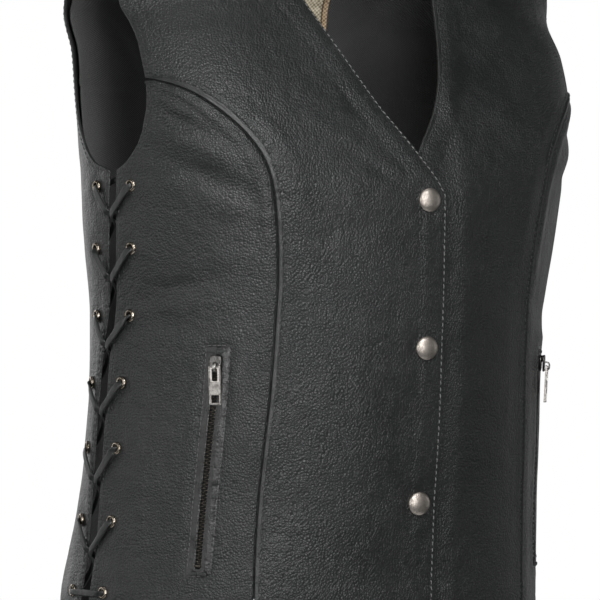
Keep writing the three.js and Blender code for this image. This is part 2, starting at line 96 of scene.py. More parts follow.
# ------------------------------------------------------------------ form functions
def through(table, col, key):
    """monotone cubic through a column of a table"""
    X, Y = table[:, 0], table[:, col]
    d = np.diff(Y) / np.diff(X)
    m = np.empty(len(X)); m[0], m[-1] = d[0], d[-1]
    for i in range(1, len(X) - 1):
        if d[i - 1] * d[i] <= 0:
            m[i] = 0
        else:
            h0, h1 = X[i] - X[i - 1], X[i + 1] - X[i]
            w1, w2 = 2 * h1 + h0, h1 + 2 * h0
            m[i] = (w1 + w2) / (w1 / d[i - 1] + w2 / d[i])
    k = np.clip(np.asarray(key, float), X[0], X[-1])
    i = np.clip(np.searchsorted(X, k, side="left") - 1, 0, len(X) - 2)
    h = X[i + 1] - X[i]; t = (k - X[i]) / h; t2 = t * t; t3 = t2 * t
    return (2 * t3 - 3 * t2 + 1) * Y[i] + (t3 - 2 * t2 + t) * h * m[i] + (-2 * t3 + 3 * t2) * Y[i + 1] + (t3 - t2) * h * m[i + 1]


def smooth(t):
    t = np.clip(t, 0, 1)
    return t * t * (3 - 2 * t)


def fall(x):
    e = np.maximum(0, np.abs(x) - SLOPE["start"])
    return SLOPE["k"] * e * e / (e + SLOPE["soft"])


def form(psi, v):
    psi, v = np.broadcast_arrays(np.asarray(psi, float), np.asarray(v, float))
    q = np.radians(psi); s, c = np.sin(q), np.cos(q); front = c >= 0
    a = through(FORM, 2, v)
    b = np.where(front, through(FORM, 3, v), through(FORM, 4, v))
    n = np.where(front, through(FORM, 5, v), through(FORM, 6, v))
    rho = (np.abs(s) ** n + np.abs(c) ** n) ** (1 / n)
    h = through(FORM, 1, v)
    x, y = a * s / rho, -b * c / rho - STANCE * h
    w = smooth((v + SLOPE["fade"]) / SLOPE["fade"])
    return np.stack([x, y, h - (fall(x) - fall(SLOPE["neck"])) * w], -1)


def unit(a):
    return a / np.maximum(np.linalg.norm(a, axis=-1, keepdims=True), 1e-12)


def normal(psi, v):
    du = form(psi + 0.25, v) - form(psi - 0.25, v)
    n = unit(np.cross(du, form(psi, np.minimum(v + 0.6, TOP - 0.05)) - form(psi, np.maximum(v - 0.6, HEM))))
    n[..., 1] *= 1 - smooth((np.asarray(v, float) - TOP + 7) / 7)
    return unit(n)


def on_form(psi, v, off):
    return form(psi, v) + normal(psi, v) * np.asarray(off, float)[..., None]


def psi_x(x, v, back=False):
    a, n = through(FORM, 2, v), through(FORM, 6 if back else 5, v)
    q = np.minimum(np.abs(x) / a, 0.99999) ** n
    p = np.degrees(np.arctan((q / (1 - q)) ** (1 / n)))
    return np.where(np.asarray(x) < 0, -1, 1) * (180 - p if back else p)


def psi_y(y, v):
    y = np.asarray(y, float)
    b = np.where(y < 0, through(FORM, 3, v), through(FORM, 4, v))
    n = np.where(y < 0, through(FORM, 5, v), through(FORM, 6, v))
    q = np.minimum(np.abs(y) / b, 0.99999) ** n
    p = 90 - np.degrees(np.arctan((q / (1 - q)) ** (1 / n)))
    return np.where(y < 0, p, 180 - p)


def neck_psi(v, side): return psi_x(through(NECK, 1 if side < 0 else 2, v), v)
def princess_psi(v): return psi_x(through(PRINCESS, 1, v), v)
def arm_front_psi(v): return psi_x(through(ARM_FRONT, 1, v), v)
def side_front_psi(v): return psi_y(through(SIDE_FRONT, 1, v), v)


def side_back_psi(v):
    v = np.asarray(v, float)
    low = psi_y(through(SIDE_FRONT, 1, np.minimum(v, -211)) + through(GAP, 1, np.minimum(v, -211)), v)
    mid = psi_y(through(ARM_BACK, 1, v), v)
    top = psi_x(through(ARM_BACK_TOP, 1, v), v, True)
    return np.where(v <= -211, low, np.where(v <= -94, mid, top))


def depth_at(side, x):
    return 0 * x if side < 0 else LAP_DROP * smooth((34 - x) / 17)


def bell(d, w):
    return np.exp(-(d / w) ** 2)


# ------------------------------------------------------------------ mesh helpers
def mesh_object(name, verts_mm, faces, smooth_shade=True):
    me = bpy.data.meshes.new(name)
    me.from_pydata([tuple(p) for p in (np.asarray(verts_mm) * MM).tolist()], [], [tuple(f) for f in faces])
    me.validate()
    if smooth_shade:
        me.polygons.foreach_set("use_smooth", [True] * len(me.polygons))
    me.update()
    ob = bpy.data.objects.new(name, me)
    bpy.context.scene.collection.objects.link(ob)
    return ob


def grid_faces(nr, nc, base=0, flip=False):
    j, i = np.meshgrid(np.arange(nr - 1), np.arange(nc - 1), indexing="ij")
    a = (base + j * nc + i).ravel(); b = a + 1; c = b + nc; d = a + nc
    q = np.stack([a, d, c, b] if flip else [a, b, c, d], 1)
    return q.tolist()


def spaced(length, step, ends=(0.12, 0.35, 0.7, 1.15, 1.7, 2.5)):
    """distances from 0 to length: close together at both ends, even between"""
    e = np.array((0.0,) + ends)
    n = max(2, int(round((length - 2 * e[-1]) / step)))
    return np.concatenate([e, np.linspace(e[-1], length - e[-1], n + 1)[1:-1], length - e[::-1]])


EDGE_R = 1.05


def rim(d):
    """how far a rounded edge falls back at distance d from it"""
    d = np.clip(d, 0, EDGE_R)
    return EDGE_R - np.sqrt(np.maximum(EDGE_R ** 2 - (EDGE_R - d) ** 2, 0))


class Sheet:
    """one cut panel: rows of points on the form between two edges"""

    def __init__(self, rows, left, right, step, dense=260):
        self.v = np.asarray(rows, float)

        psi_l, psi_r = left(self.v), right(self.v)
        t = np.linspace(0, 1, dense)
        psi = psi_l[:, None] + (psi_r - psi_l)[:, None] * t
        P = form(psi, self.v[:, None])
        seg = np.linalg.norm(np.diff(P, axis=1), axis=2)
        cum = np.concatenate([np.zeros((len(self.v), 1)), np.cumsum(seg, 1)], 1)
        width = cum[:, -1]
        n = len(spaced(width.max(), step))
        base = spaced(width.max(), step)
        k = np.arange(n)
        out = np.empty((len(self.v), n)); self.dl = np.empty_like(out); self.dr = np.empty_like(out)
        for r in range(len(self.v)):
            w = width[r]
            if w < 8:
                d = np.linspace(0, w, n)
            else:
                inner = (base[7:-7] - base[6]) / (base[-7] - base[6]) * (w - 2 * base[6]) + base[6]
                d = np.concatenate([base[:7], inner, w - base[:7][::-1]])
            self.dl[r], self.dr[r] = d, w - d
            out[r] = np.interp(d, cum[r], psi[r])
        self.psi = out
        self.V = np.repeat(self.v[:, None], n, 1)
        self.width = width


def shell(name, psi, V, edge, relief, thick, flip=False, depth=0.0, inner_relief=0.6, soft=1.0):
    """closed thin shell: outer layer at -depth + relief, inner layer thick below; its rim is round"""
    N = normal(psi, V); B = form(psi, V)
    r = rim(edge) * min(1.0, thick / (2 * EDGE_R) + 0.35)
    outer = B + N * (relief - depth - r)[..., None]
    inner = B + N * (relief * inner_relief - depth - thick + np.minimum(r, thick * 0.45))[..., None]
    nr, nc = psi.shape
    verts = np.concatenate([outer.reshape(-1, 3), inner.reshape(-1, 3)])
    K = nr * nc
    faces = grid_faces(nr, nc, 0, flip) + grid_faces(nr, nc, K, not flip)
    def strip(ids, fl):
        for a, b in zip(ids[:-1], ids[1:]):
            faces.append((a, a + K, b + K, b) if fl else (a, b, b + K, a + K))
    bottom = [i for i in range(nc)]; top = [(nr - 1) * nc + i for i in range(nc)]
    left = [j * nc for j in range(nr)]; right = [j * nc + nc - 1 for j in range(nr)]
    strip(bottom, not flip); strip(top, flip); strip(left, flip); strip(right, not flip)
    return mesh_object(name, verts, faces)


# ------------------------------------------------------------------ materials
def new_mat(name):
    m = bpy.data.materials.new(name)
    m.use_nodes = True
    nt = m.node_tree; nt.nodes.clear()
    out = nt.nodes.new("ShaderNodeOutputMaterial")
    bs = nt.nodes.new("ShaderNodeBsdfPrincipled")
    nt.links.new(bs.outputs[0], out.inputs[0])
    return m, nt, bs


def node(nt, kind, **values):
    n = nt.nodes.new(kind)
    for k, val in values.items():
        if k in n.inputs:
            n.inputs[k].default_value = val
        else:
            setattr(n, k, val)
    return n


def ramp(nt, src, stops):
    r = nt.nodes.new("ShaderNodeValToRGB")
    el = r.color_ramp.elements
    while len(el) < len(stops):
        el.new(0.5)
    for e, (p, c) in zip(el, stops):
        e.position = p; e.color = c if len(c) == 4 else (*c, 1)
    nt.links.new(src, r.inputs[0])
    return r.outputs[0]


def mathn(nt, op, a, b=None):
    n = nt.nodes.new("ShaderNodeMath"); n.operation = op
    for i, s in enumerate((a, b)):
        if s is None:
            continue
        if isinstance(s, (int, float)):
            n.inputs[i].default_value = s
        else:
            nt.links.new(s, n.inputs[i])
    return n.outputs[0]


def leather_mat(name, base=(0.0125, 0.0137, 0.0135), rough=0.37, cell=1.7, grain=0.36, spec=0.5):
    m, nt, bs = new_mat(name)
    tc = node(nt, "ShaderNodeTexCoord")
    # pebble grain: rounded cells parted by fine creases, their size drifting over the hide
    warp = node(nt, "ShaderNodeTexNoise", Scale=55.0, Detail=2.0)
    nt.links.new(tc.outputs["Object"], warp.inputs["Vector"])
    mixv = nt.nodes.new("ShaderNodeVectorMath"); mixv.operation = "MULTIPLY_ADD"
    mixv.inputs[1].default_value = (0.004, 0.004, 0.004)
    nt.links.new(warp.outputs["Color"], mixv.inputs[0]); nt.links.new(tc.outputs["Object"], mixv.inputs[2])
    vor = node(nt, "ShaderNodeTexVoronoi", Scale=1000.0 / cell, feature="DISTANCE_TO_EDGE", Randomness=0.95)
    nt.links.new(mixv.outputs[0], vor.inputs["Vector"])
    vor2 = node(nt, "ShaderNodeTexVoronoi", Scale=1000.0 / cell, feature="F1", Randomness=0.95)
    nt.links.new(mixv.outputs[0], vor2.inputs["Vector"])
    fine = node(nt, "ShaderNodeTexNoise", Scale=2600.0, Detail=3.0, Roughness=0.6)
    nt.links.new(tc.outputs["Object"], fine.inputs["Vector"])
    big = node(nt, "ShaderNodeTexNoise", Scale=16.0, Detail=3.0, Roughness=0.55)
    nt.links.new(tc.outputs["Object"], big.inputs["Vector"])
    cells = ramp(nt, vor.outputs["Distance"], [(0.0, (0, 0, 0)), (0.10, (0.62, 0.62, 0.62)), (0.32, (1, 1, 1))])
    h1 = mathn(nt, "MULTIPLY", cells, 0.45)
    h2 = mathn(nt, "MULTIPLY", vor2.outputs["Distance"], -1.15)
    h3 = mathn(nt, "MULTIPLY", fine.outputs["Fac"], 0.10)
    height = mathn(nt, "ADD", mathn(nt, "ADD", h1, h2), h3)
    # the grain is stronger in some areas and nearly smooth in others
    area = ramp(nt, big.outputs["Fac"], [(0.34, (0.55, 0.55, 0.55)), (0.66, (1, 1, 1))])
    bump = node(nt, "ShaderNodeBump", Strength=1.0, Distance=grain * 0.001)
    nt.links.new(mathn(nt, "MULTIPLY", height, area), bump.inputs["Height"])
    soft = node(nt, "ShaderNodeBump", Strength=1.0, Distance=0.0011)
    mid = node(nt, "ShaderNodeTexNoise", Scale=95.0, Detail=3.0, Roughness=0.5)
    nt.links.new(tc.outputs["Object"], mid.inputs["Vector"])
    nt.links.new(mid.outputs["Fac"], soft.inputs["Height"])
    nt.links.new(bump.outputs[0], soft.inputs["Normal"])
    nt.links.new(soft.outputs[0], bs.inputs["Normal"])
    # colour: black with a faint green-grey cast, darker in the creases of the grain as painted shade
    tone = ramp(nt, big.outputs["Fac"], [(0.3, tuple(c * 0.8 for c in base)), (0.7, tuple(c * 1.25 for c in base))])
    mul = nt.nodes.new("ShaderNodeMix"); mul.data_type = "RGBA"; mul.blend_type = "MULTIPLY"
    mul.inputs["Factor"].default_value = 0.6
    nt.links.new(tone, mul.inputs["A"])
    nt.links.new(ramp(nt, cells, [(0.0, (0.45, 0.45, 0.45)), (0.5, (1, 1, 1))]), mul.inputs["B"])
    nt.links.new(mul.outputs["Result"], bs.inputs["Base Color"])
    rg = ramp(nt, mathn(nt, "ADD", mathn(nt, "MULTIPLY", big.outputs["Fac"], 0.6), mathn(nt, "MULTIPLY", fine.outputs["Fac"], 0.4)),
              [(0.3, (rough - 0.06,) * 3), (0.7, (rough + 0.08,) * 3)])
    nt.links.new(rg, bs.inputs["Roughness"])
    bs.inputs["Specular IOR Level"].default_value = spec
    return m


def metal_mat(name, base, dark, rough=0.3, scale=420.0, brushed=False):
    m, nt, bs = new_mat(name)
    tc = node(nt, "ShaderNodeTexCoord")
    n1 = node(nt, "ShaderNodeTexNoise", Scale=scale, Detail=4.0, Roughness=0.6)
    nt.links.new(tc.outputs["Object"], n1.inputs["Vector"])
    n2 = node(nt, "ShaderNodeTexNoise", Scale=scale * 9, Detail=2.0)
    nt.links.new(tc.outputs["Object"], n2.inputs["Vector"])
    nt.links.new(ramp(nt, n1.outputs["Fac"], [(0.35, dark), (0.6, base)]), bs.inputs["Base Color"])
    nt.links.new(ramp(nt, n1.outputs["Fac"], [(0.3, (rough + 0.12,) * 3), (0.7, (rough - 0.05,) * 3)]), bs.inputs["Roughness"])
    bs.inputs["Metallic"].default_value = 1.0
    b = node(nt, "ShaderNodeBump", Strength=0.35, Distance=0.00005)
    nt.links.new(n2.outputs["Fac"], b.inputs["Height"])
    nt.links.new(b.outputs[0], bs.inputs["Normal"])
    return m


def thread_mat(name, base, rough=0.75):
    m, nt, bs = new_mat(name)
    tc = node(nt, "ShaderNodeTexCoord")
    n1 = node(nt, "ShaderNodeTexNoise", Scale=900.0, Detail=2.0)
    nt.links.new(tc.outputs["Object"], n1.inputs["Vector"])
    nt.links.new(ramp(nt, n1.outputs["Fac"], [(0.3, tuple(c * 0.65 for c in base)), (0.7, base)]), bs.inputs["Base Color"])
    w = node(nt, "ShaderNodeTexWave", Scale=900.0, Distortion=1.5, bands_direction="DIAGONAL")
    nt.links.new(tc.outputs["Object"], w.inputs["Vector"])
    b = node(nt, "ShaderNodeBump", Strength=0.6, Distance=0.0001)
    nt.links.new(w.outputs["Fac"], b.inputs["Height"]); nt.links.new(b.outputs[0], bs.inputs["Normal"])
    bs.inputs["Roughness"].default_value = rough
    return m


def twill_mat(name, base, pitch=1.1, sheen=0.15, rough=0.62, angle=(0.62, 0.0, 0.78), amount=0.00018):
    m, nt, bs = new_mat(name)
    tc = node(nt, "ShaderNodeTexCoord")
    dot = nt.nodes.new("ShaderNodeVectorMath"); dot.operation = "DOT_PRODUCT"
    dot.inputs[1].default_value = angle
    nt.links.new(tc.outputs["Object"], dot.inputs[0])
    ph = mathn(nt, "MULTIPLY", dot.outputs["Value"], 2 * math.pi * 1000 / pitch)
    s1 = mathn(nt, "SINE", ph)
    dot2 = nt.nodes.new("ShaderNodeVectorMath"); dot2.operation = "DOT_PRODUCT"
    dot2.inputs[1].default_value = (angle[2], 0.0, -angle[0])
    nt.links.new(tc.outputs["Object"], dot2.inputs[0])
    s2 = mathn(nt, "SINE", mathn(nt, "MULTIPLY", dot2.outputs["Value"], 2 * math.pi * 1000 / (pitch * 0.8)))
    h = mathn(nt, "ADD", s1, mathn(nt, "MULTIPLY", s2, 0.35))
    b = node(nt, "ShaderNodeBump", Strength=1.0, Distance=amount)
    nt.links.new(h, b.inputs["Height"]); nt.links.new(b.outputs[0], bs.inputs["Normal"])
    n1 = node(nt, "ShaderNodeTexNoise", Scale=30.0, Detail=3.0)
    nt.links.new(tc.outputs["Object"], n1.inputs["Vector"])
    fac = mathn(nt, "ADD", mathn(nt, "MULTIPLY", s1, 0.18), n1.outputs["Fac"])
    nt.links.new(ramp(nt, fac, [(0.3, tuple(c * 0.7 for c in base)), (0.75, tuple(c * 1.25 for c in base))]), bs.inputs["Base Color"])
    bs.inputs["Roughness"].default_value = rough
    bs.inputs["Sheen Weight"].default_value = sheen
    return m


M_LEATHER = leather_mat("black_leather")
M_BAND = leather_mat("black_leather_band", grain=0.07, rough=0.40)
M_LACE = leather_mat("black_leather_lace", grain=0.08, rough=0.38, cell=0.9)
M_INSIDE = leather_mat("leather_flesh_side", base=(0.034, 0.034, 0.034), rough=0.85, grain=0.12, cell=0.6, spec=0.2)
M_LINING = twill_mat("black_twill", (0.034, 0.034, 0.035), sheen=0.3)
M_TAPE = twill_mat("zip_tape_weave", (0.010, 0.010, 0.010), pitch=0.9)
M_NICKEL = metal_mat("satin_nickel", (0.50, 0.455, 0.41), (0.33, 0.295, 0.265), rough=0.38)
M_ZIPDARK = metal_mat("zip_gunmetal", (0.13, 0.125, 0.12), (0.035, 0.034, 0.033), rough=0.28)
M_ZIPMETAL = metal_mat("zip_nickel", (0.36, 0.35, 0.33), (0.12, 0.115, 0.11), rough=0.30)
M_BRASS = metal_mat("antique_brass", (0.46, 0.40, 0.33), (0.10, 0.08, 0.055), rough=0.17, scale=300.0)
# zip teeth and stops: bronze metal made nearly black as painted shade of the narrow pocket slit
M_TEETH_SHADED = metal_mat("bronze_with_painted_shade", (0.070, 0.062, 0.052), (0.02, 0.019, 0.018), rough=0.33, scale=900.0)
M_PULL = metal_mat("pull_nickel", (0.62, 0.58, 0.55), (0.36, 0.34, 0.32), rough=0.40)
# pocket welts: the smooth black leather with its colour made about three times darker as painted shade around the
# pocket opening
M_WELT_SHADED = leather_mat("black_leather_welt_painted_shade", base=(0.004, 0.0044, 0.0044), grain=0.07, rough=0.27)
# a lighter grey copy of the dark thread, painted light for the edge stitching of the lit right front
M_THREAD_LIT_SIDE = thread_mat("grey_thread_painted_light", (0.20, 0.205, 0.20))
M_THREAD_MID = thread_mat("mid_thread", (0.12, 0.122, 0.12))
M_THREAD_DARK = thread_mat("dark_thread", (0.05, 0.052, 0.052))


def finish_piece(ob, material, body="vest", replaces=()):
    if material is not None:
        ob.data.materials.clear(); ob.data.materials.append(material)
    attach(ob, body)
    if replaces:
        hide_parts(*replaces)
    return ob


# ------------------------------------------------------------------ camera (first), lights, floor
scene = bpy.context.scene
AZ = math.radians(35)
DIST = 3.4
cam_data = bpy.data.cameras.new("cam"); cam = bpy.data.objects.new("cam", cam_data)
scene.collection.objects.link(cam); scene.camera = cam
cam_data.sensor_width = 36.0
cam_data.lens = DIST / 0.00067 / 600 * 36
cam_data.clip_start, cam_data.clip_end = 0.1, 100
right = Vector((math.cos(AZ), -math.sin(AZ), 0)); ahead = Vector((math.sin(AZ), math.cos(AZ), 0))
target = right * (-0.00603) + Vector((0, 0.01707, -0.2948))
cam.location = Vector((target.x, target.y, -0.3263)) - ahead * DIST
cam.rotation_mode = "QUATERNION"
cam.rotation_quaternion = (target - cam.location).to_track_quat("-Z", "Y")


def area_light(name, at, look, size, power, size_y=None, spread=None):
    d = bpy.data.lights.new(name, "AREA")
    d.shape = "RECTANGLE"; d.size = size; d.size_y = size_y or size
    d.energy = power
    if spread:
        d.spread = spread
    o = bpy.data.objects.new(name, d)
    scene.collection.objects.link(o)
    o.location = at
    o.rotation_mode = "QUATERNION"
    o.rotation_quaternion = (Vector(look) - Vector(at)).to_track_quat("-Z", "Y")
    o.visible_camera = False
    return o


def around(az, dist, z):
    a = math.radians(az)
    return (math.sin(a) * dist, -math.cos(a) * dist, z)


area_light("key_strip", around(-28, 2.2, -0.15), (0, 0, -0.30), 0.35, 9.8, 1.0)
area_light("front_strip", around(-12, 2.2, -0.25), (0, 0, -0.30), 0.35, 9.2, 1.0)
area_light("high_front", around(-20, 2.0, 1.1), (0, 0, -0.30), 1.2, 25, 0.8)
area_light("side_right_front", around(-65, 2.2, -0.2), (0, 0, -0.30), 0.8, 8.0, 1.4)
area_light("side_right", around(-95, 2.2, -0.2), (0, 0, -0.30), 0.9, 8.6, 1.4)
area_light("rear_right", around(-140, 2.4, -0.2), (0, 0, -0.30), 1.2, 7.0, 1.6)
area_light("side_left_front", around(60, 2.4, -0.2), (0, 0, -0.30), 1.0, 3.0, 1.4)
area_light("side_left", around(110, 2.4, -0.2), (0, 0, -0.30), 1.2, 2.6, 1.6)
area_light("rear", around(180, 2.4, 0.1), (0, 0, -0.30), 1.4, 9.0, 1.4)
area_light("top", (0, 0, 1.7), (0, 0, -0.30), 1.4, 6.0)



def spot(name, psi, row, az, el, rad_mm, power, stretch=(1, 1), turn=0.0, dist=2.2):
    """a soft pool of light on one place of the front"""
    q, v = np.array(float(psi)), np.array(float(row))
    at = Vector(form(q, v) * MM)
    a, e = math.radians(az), math.radians(el)
    src = at + Vector((math.sin(a) * math.cos(e), -math.cos(a) * math.cos(e), math.sin(e))) * dist
    d = bpy.data.lights.new(name, "SPOT")
    d.energy = power; d.spot_size = 2 * math.atan(rad_mm * MM / dist); d.spot_blend = 1.0; d.shadow_soft_size = 0.12
    o = bpy.data.objects.new(name, d)
    scene.collection.objects.link(o)
    o.location = src
    o.rotation_mode = "QUATERNION"
    o.rotation_quaternion = (at - src).to_track_quat("-Z", "Y") @ Quaternion((0, 0, 1), math.radians(turn))
    o.scale = (stretch[0], stretch[1], 1)
    o.visible_camera = False
    return o


spot("bust_high", -51, -166, -42, 25, 95, 75, (1.0, 0.62), -28)
spot("bust_mid", -39.5, -200, -20, 14, 82, 95, (0.75, 1.0), 30)
spot("bust_low", -33.5, -236, -11, -2, 78, 80, (0.7, 1.0), 12)
spot("pocket_side_high", -45.5, -366, -43, -2, 100, 100, (0.36, 1.0))
spot("pocket_side_low", -44.5, -440, -38, 0, 90, 60, (0.42, 1.0))
spot("placket_top", -6, -205, 10, 8, 40, 22)
world = bpy.data.worlds.new("studio"); scene.world = world
world.use_nodes = True
wn = world.node_tree; wn.nodes.clear()
w_out = wn.nodes.new("ShaderNodeOutputWorld"); w_bg = wn.nodes.new("ShaderNodeBackground")
w_lp = wn.nodes.new("ShaderNodeLightPath"); w_mix = wn.nodes.new("ShaderNodeMix")
w_mix.data_type = "RGBA"
w_mix.inputs["A"].default_value = (0.060, 0.062, 0.062, 1); w_mix.inputs["B"].default_value = (1, 1, 1, 1)
wn.links.new(w_lp.outputs["Is Camera Ray"], w_mix.inputs["Factor"])
wn.links.new(w_mix.outputs["Result"], w_bg.inputs["Color"]); wn.links.new(w_bg.outputs[0], w_out.inputs[0])
scene.view_settings.view_transform = "Standard"
scene.view_settings.look = "None"

bpy.ops.mesh.primitive_circle_add(vertices=96, radius=0.9, fill_type="NGON", location=(0, 0, -1.3))
floor = bpy.context.object; floor.name = "floor"
m, nt, bs = new_mat("pale_floor")
tc = node(nt, "ShaderNodeTexCoord"); n1 = node(nt, "ShaderNodeTexNoise", Scale=6.0)
nt.links.new(tc.outputs["Object"], n1.inputs["Vector"])
nt.links.new(ramp(nt, n1.outputs["Fac"], [(0.3, (0.80, 0.80, 0.80)), (0.7, (0.86, 0.86, 0.86))]), bs.inputs["Base Color"])
bs.inputs["Roughness"].default_value = 0.8
floor.data.materials.append(m)
floor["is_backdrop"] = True

# ------------------------------------------------------------------ relief of the cloth
# Folds and dents, as listed. columns: side, degrees from the centre front, row, half
# length and half width in mm, lean in degrees, height; one soft trough (minus) or ridge (plus) each
FOLDS = [
    # wearer's right front: drags from the armpit to under the bust
    (-1, 56, -181, 22, 5.5, 27, -1.9), (-1, 53, -196, 28, 6.5, 25, 1.2), (-1, 55, -213, 30, 7.5, 24, -2.3), (-1, 52, -232, 26, 9.0, 22, 0.9),
    (-1, 66, -184, 10, 5.0, 40, 0.9), (-1, 67, -222, 16, 9.0, -6, 0.7),
    # waist and pocket of the right side panel
    (-1, 59, -286, 30, 5.0, -10, -0.8), (-1, 60, -300, 26, 5.0, -6, 0.7), (-1, 64, -312, 24, 5.5, 4, -0.7),
    (-1, 45.4, -378, 60, 8.5, 88, 1.5), (-1, 66, -400, 60, 9.0, 96, -0.7), (-1, 72, -430, 50, 8.0, 84, 0.8),
    # right centre panel, below the bust to the placket
    (-1, 15, -330, 26, 5.0, 24, -0.7), (-1, 10, -345, 24, 5.0, 18, 0.6), (-1, 24, -300, 30, 7.0, 12, -0.6),
    (-1, 20, -252, 26, 6.0, -10, -0.5), (-1, 7, -300, 16, 12.0, 60, -0.4), (-1, 12, -212, 30, 5.0, 38, -0.8), (-1, 17, -196, 28, 5.0, 38, 0.7),
    # wearer's left front
    (1, 56, -180, 24, 5.0, -20, -1.4), (1, 52, -198, 26, 6.5, -20, 1.0), (1, 53, -214, 28, 7.5, -18, -1.5),
    (1, 15, -318, 28, 6.0, -20, -0.6), (1, 20, -348, 30, 6.0, -14, 0.5), (1, 47, -300, 32, 7.0, 8, -0.8),
    (1, 52, -320, 24, 6.0, -5, 0.6), (1, 14, -262, 24, 7.0, 14, -0.4),
]
BACK_FOLDS = [  # columns: x, row, half size across, half size up, lean, height
    (-70, -352, 52, 6.0, 6, -1.2), (62, -360, 56, 6.5, -5, -1.1), (-20, -338, 44, 5.0, -3, 0.8), (30, -380, 50, 7.0, 4, 0.9),
    (-96, -395, 40, 7.0, 12, 0.8), (98, -330, 40, 6.0, -12, 0.8), (-120, -190, 40, 8.0, 26, -1.2), (122, -200, 38, 8.0, -24, -1.1),
    (-112, -228, 36, 7.0, 20, 0.8), (110, -172, 40, 7.0, -28, 0.9), (0, -300, 60, 9.0, 0, -0.6), (-40, -120, 46, 10.0, 10, 0.5),
    (46, -110, 44, 10.0, -8, 0.5),
]


def fold_field(x, v, folds):
    out = np.zeros_like(x)
    for fx, fv, su, sv, lean, h in folds:
        a = math.radians(lean); dx, dv = x - fx, v - fv
        u, w = dx * math.cos(a) + dv * math.sin(a), -dx * math.sin(a) + dv * math.cos(a)
        out += h * np.exp(-(u / su) ** 2 - (w / sv) ** 2)
    return out


def swell(p):
    """the slow unevenness of a hide that has been worn"""
    x, y, z = p[..., 0], p[..., 1], p[..., 2]
    return (0.55 * np.sin(x / 31 + 1.3 * np.sin(z / 57)) * np.sin(z / 43 + 0.8 + 0.6 * np.sin(y / 37))
            + 0.35 * np.sin(y / 23 + z / 61 + 0.9) * np.sin(z / 29 - x / 47 + 2.1)
            + 0.16 * np.sin(x / 11.5 + z / 17 + 0.4) * np.sin(z / 13 - y / 19 + 1.7))


def arc_on_row(psi, V, ref):
    """signed distance in mm along the row from psi to ref (small distances)"""
    mid = (psi + ref) / 2
    g = np.linalg.norm(form(mid + 0.5, V) - form(mid - 0.5, V), axis=-1)
    return (psi - ref) * g


def front_relief(side, psi, V, P):
    """height over the form of a front panel; psi is own-side positive"""
    x_own = np.abs(P[..., 0]) * np.sign(psi)
    r = 0.9 * swell(P) * smooth((170 - np.abs(V + 330)) / 60 + 0.6)
    folds = [(fp * 2.55, fv, su, sv, lean if side < 0 else -lean, h) for s, fp, fv, su, sv, lean, h in FOLDS if s == side]
    r += fold_field(psi * 2.55, V, folds)
    # little dimples under the snaps on the upper front
    if side < 0:
        for k, sv in enumerate(SNAP_ROWS):
            d = np.hypot(x_own, V - sv)
            r += -0.7 * bell(d - 9.5, 3.2) + 0.35 * bell(np.hypot(x_own, V - sv + 17), 6) * np.cos(x_own / 2.6)
    return r


def put_on(side, psi):
    return side * psi


# ------------------------------------------------------------------ front panels
def front_rows(lo, hi, step, extra=()):
    r = spaced(hi - lo, step) + lo
    return r


def edge_distance_rows(V, lo, hi, psi):
    """distance to the hem and to the top edge, in mm along the panel"""
    g = np.linalg.norm(form(psi, V + 0.5) - form(psi, V - 0.5), axis=-1)
    return (V - lo) * g, (hi - V) * g


BAND = 3.6          # raised fold along the princess seam
FACING = 18.5       # width of the facing under the neckline and placket


def slope_of(f, v):
    """how far an edge moves along the row for each mm of rise"""
    p0, p1 = form(f(v - 0.5), v - 0.5), form(f(v + 0.5), v + 0.5)
    e = p1 - p0
    row = unit(form(f(v) + 0.2, v) - form(f(v) - 0.2, v))
    along = (e * row).sum(-1)
    return along / np.maximum(np.linalg.norm(e, axis=-1), 1e-6)


def true_distance(d_row, f, V):
    """a distance along the row to an edge, turned square to the edge"""
    s = slope_of(f, V[:, 0])
    f_ = np.sqrt(np.maximum(1 - s * s, 0.02))[:, None]
    return d_row * (f_ + (1 - f_) * smooth((d_row - 6) / 24))


def paint_layers(ob, shape, band=None):
    """grain side, smooth seam band and flesh side of a panel as its three materials"""
    for m_ in (M_LEATHER, M_BAND, M_INSIDE):
        ob.data.materials.append(m_)
    nr, nc = shape; n = (nr - 1) * (nc - 1)
    idx = np.zeros(len(ob.data.polygons), int)
    idx[n:2 * n] = 2
    if band is not None:
        q = band[:-1, :-1] & band[1:, 1:]
        idx[:n] = np.where(q.ravel(), 1, 0)
    ob.data.polygons.foreach_set("material_index", idx.tolist())
    ob.data.update()


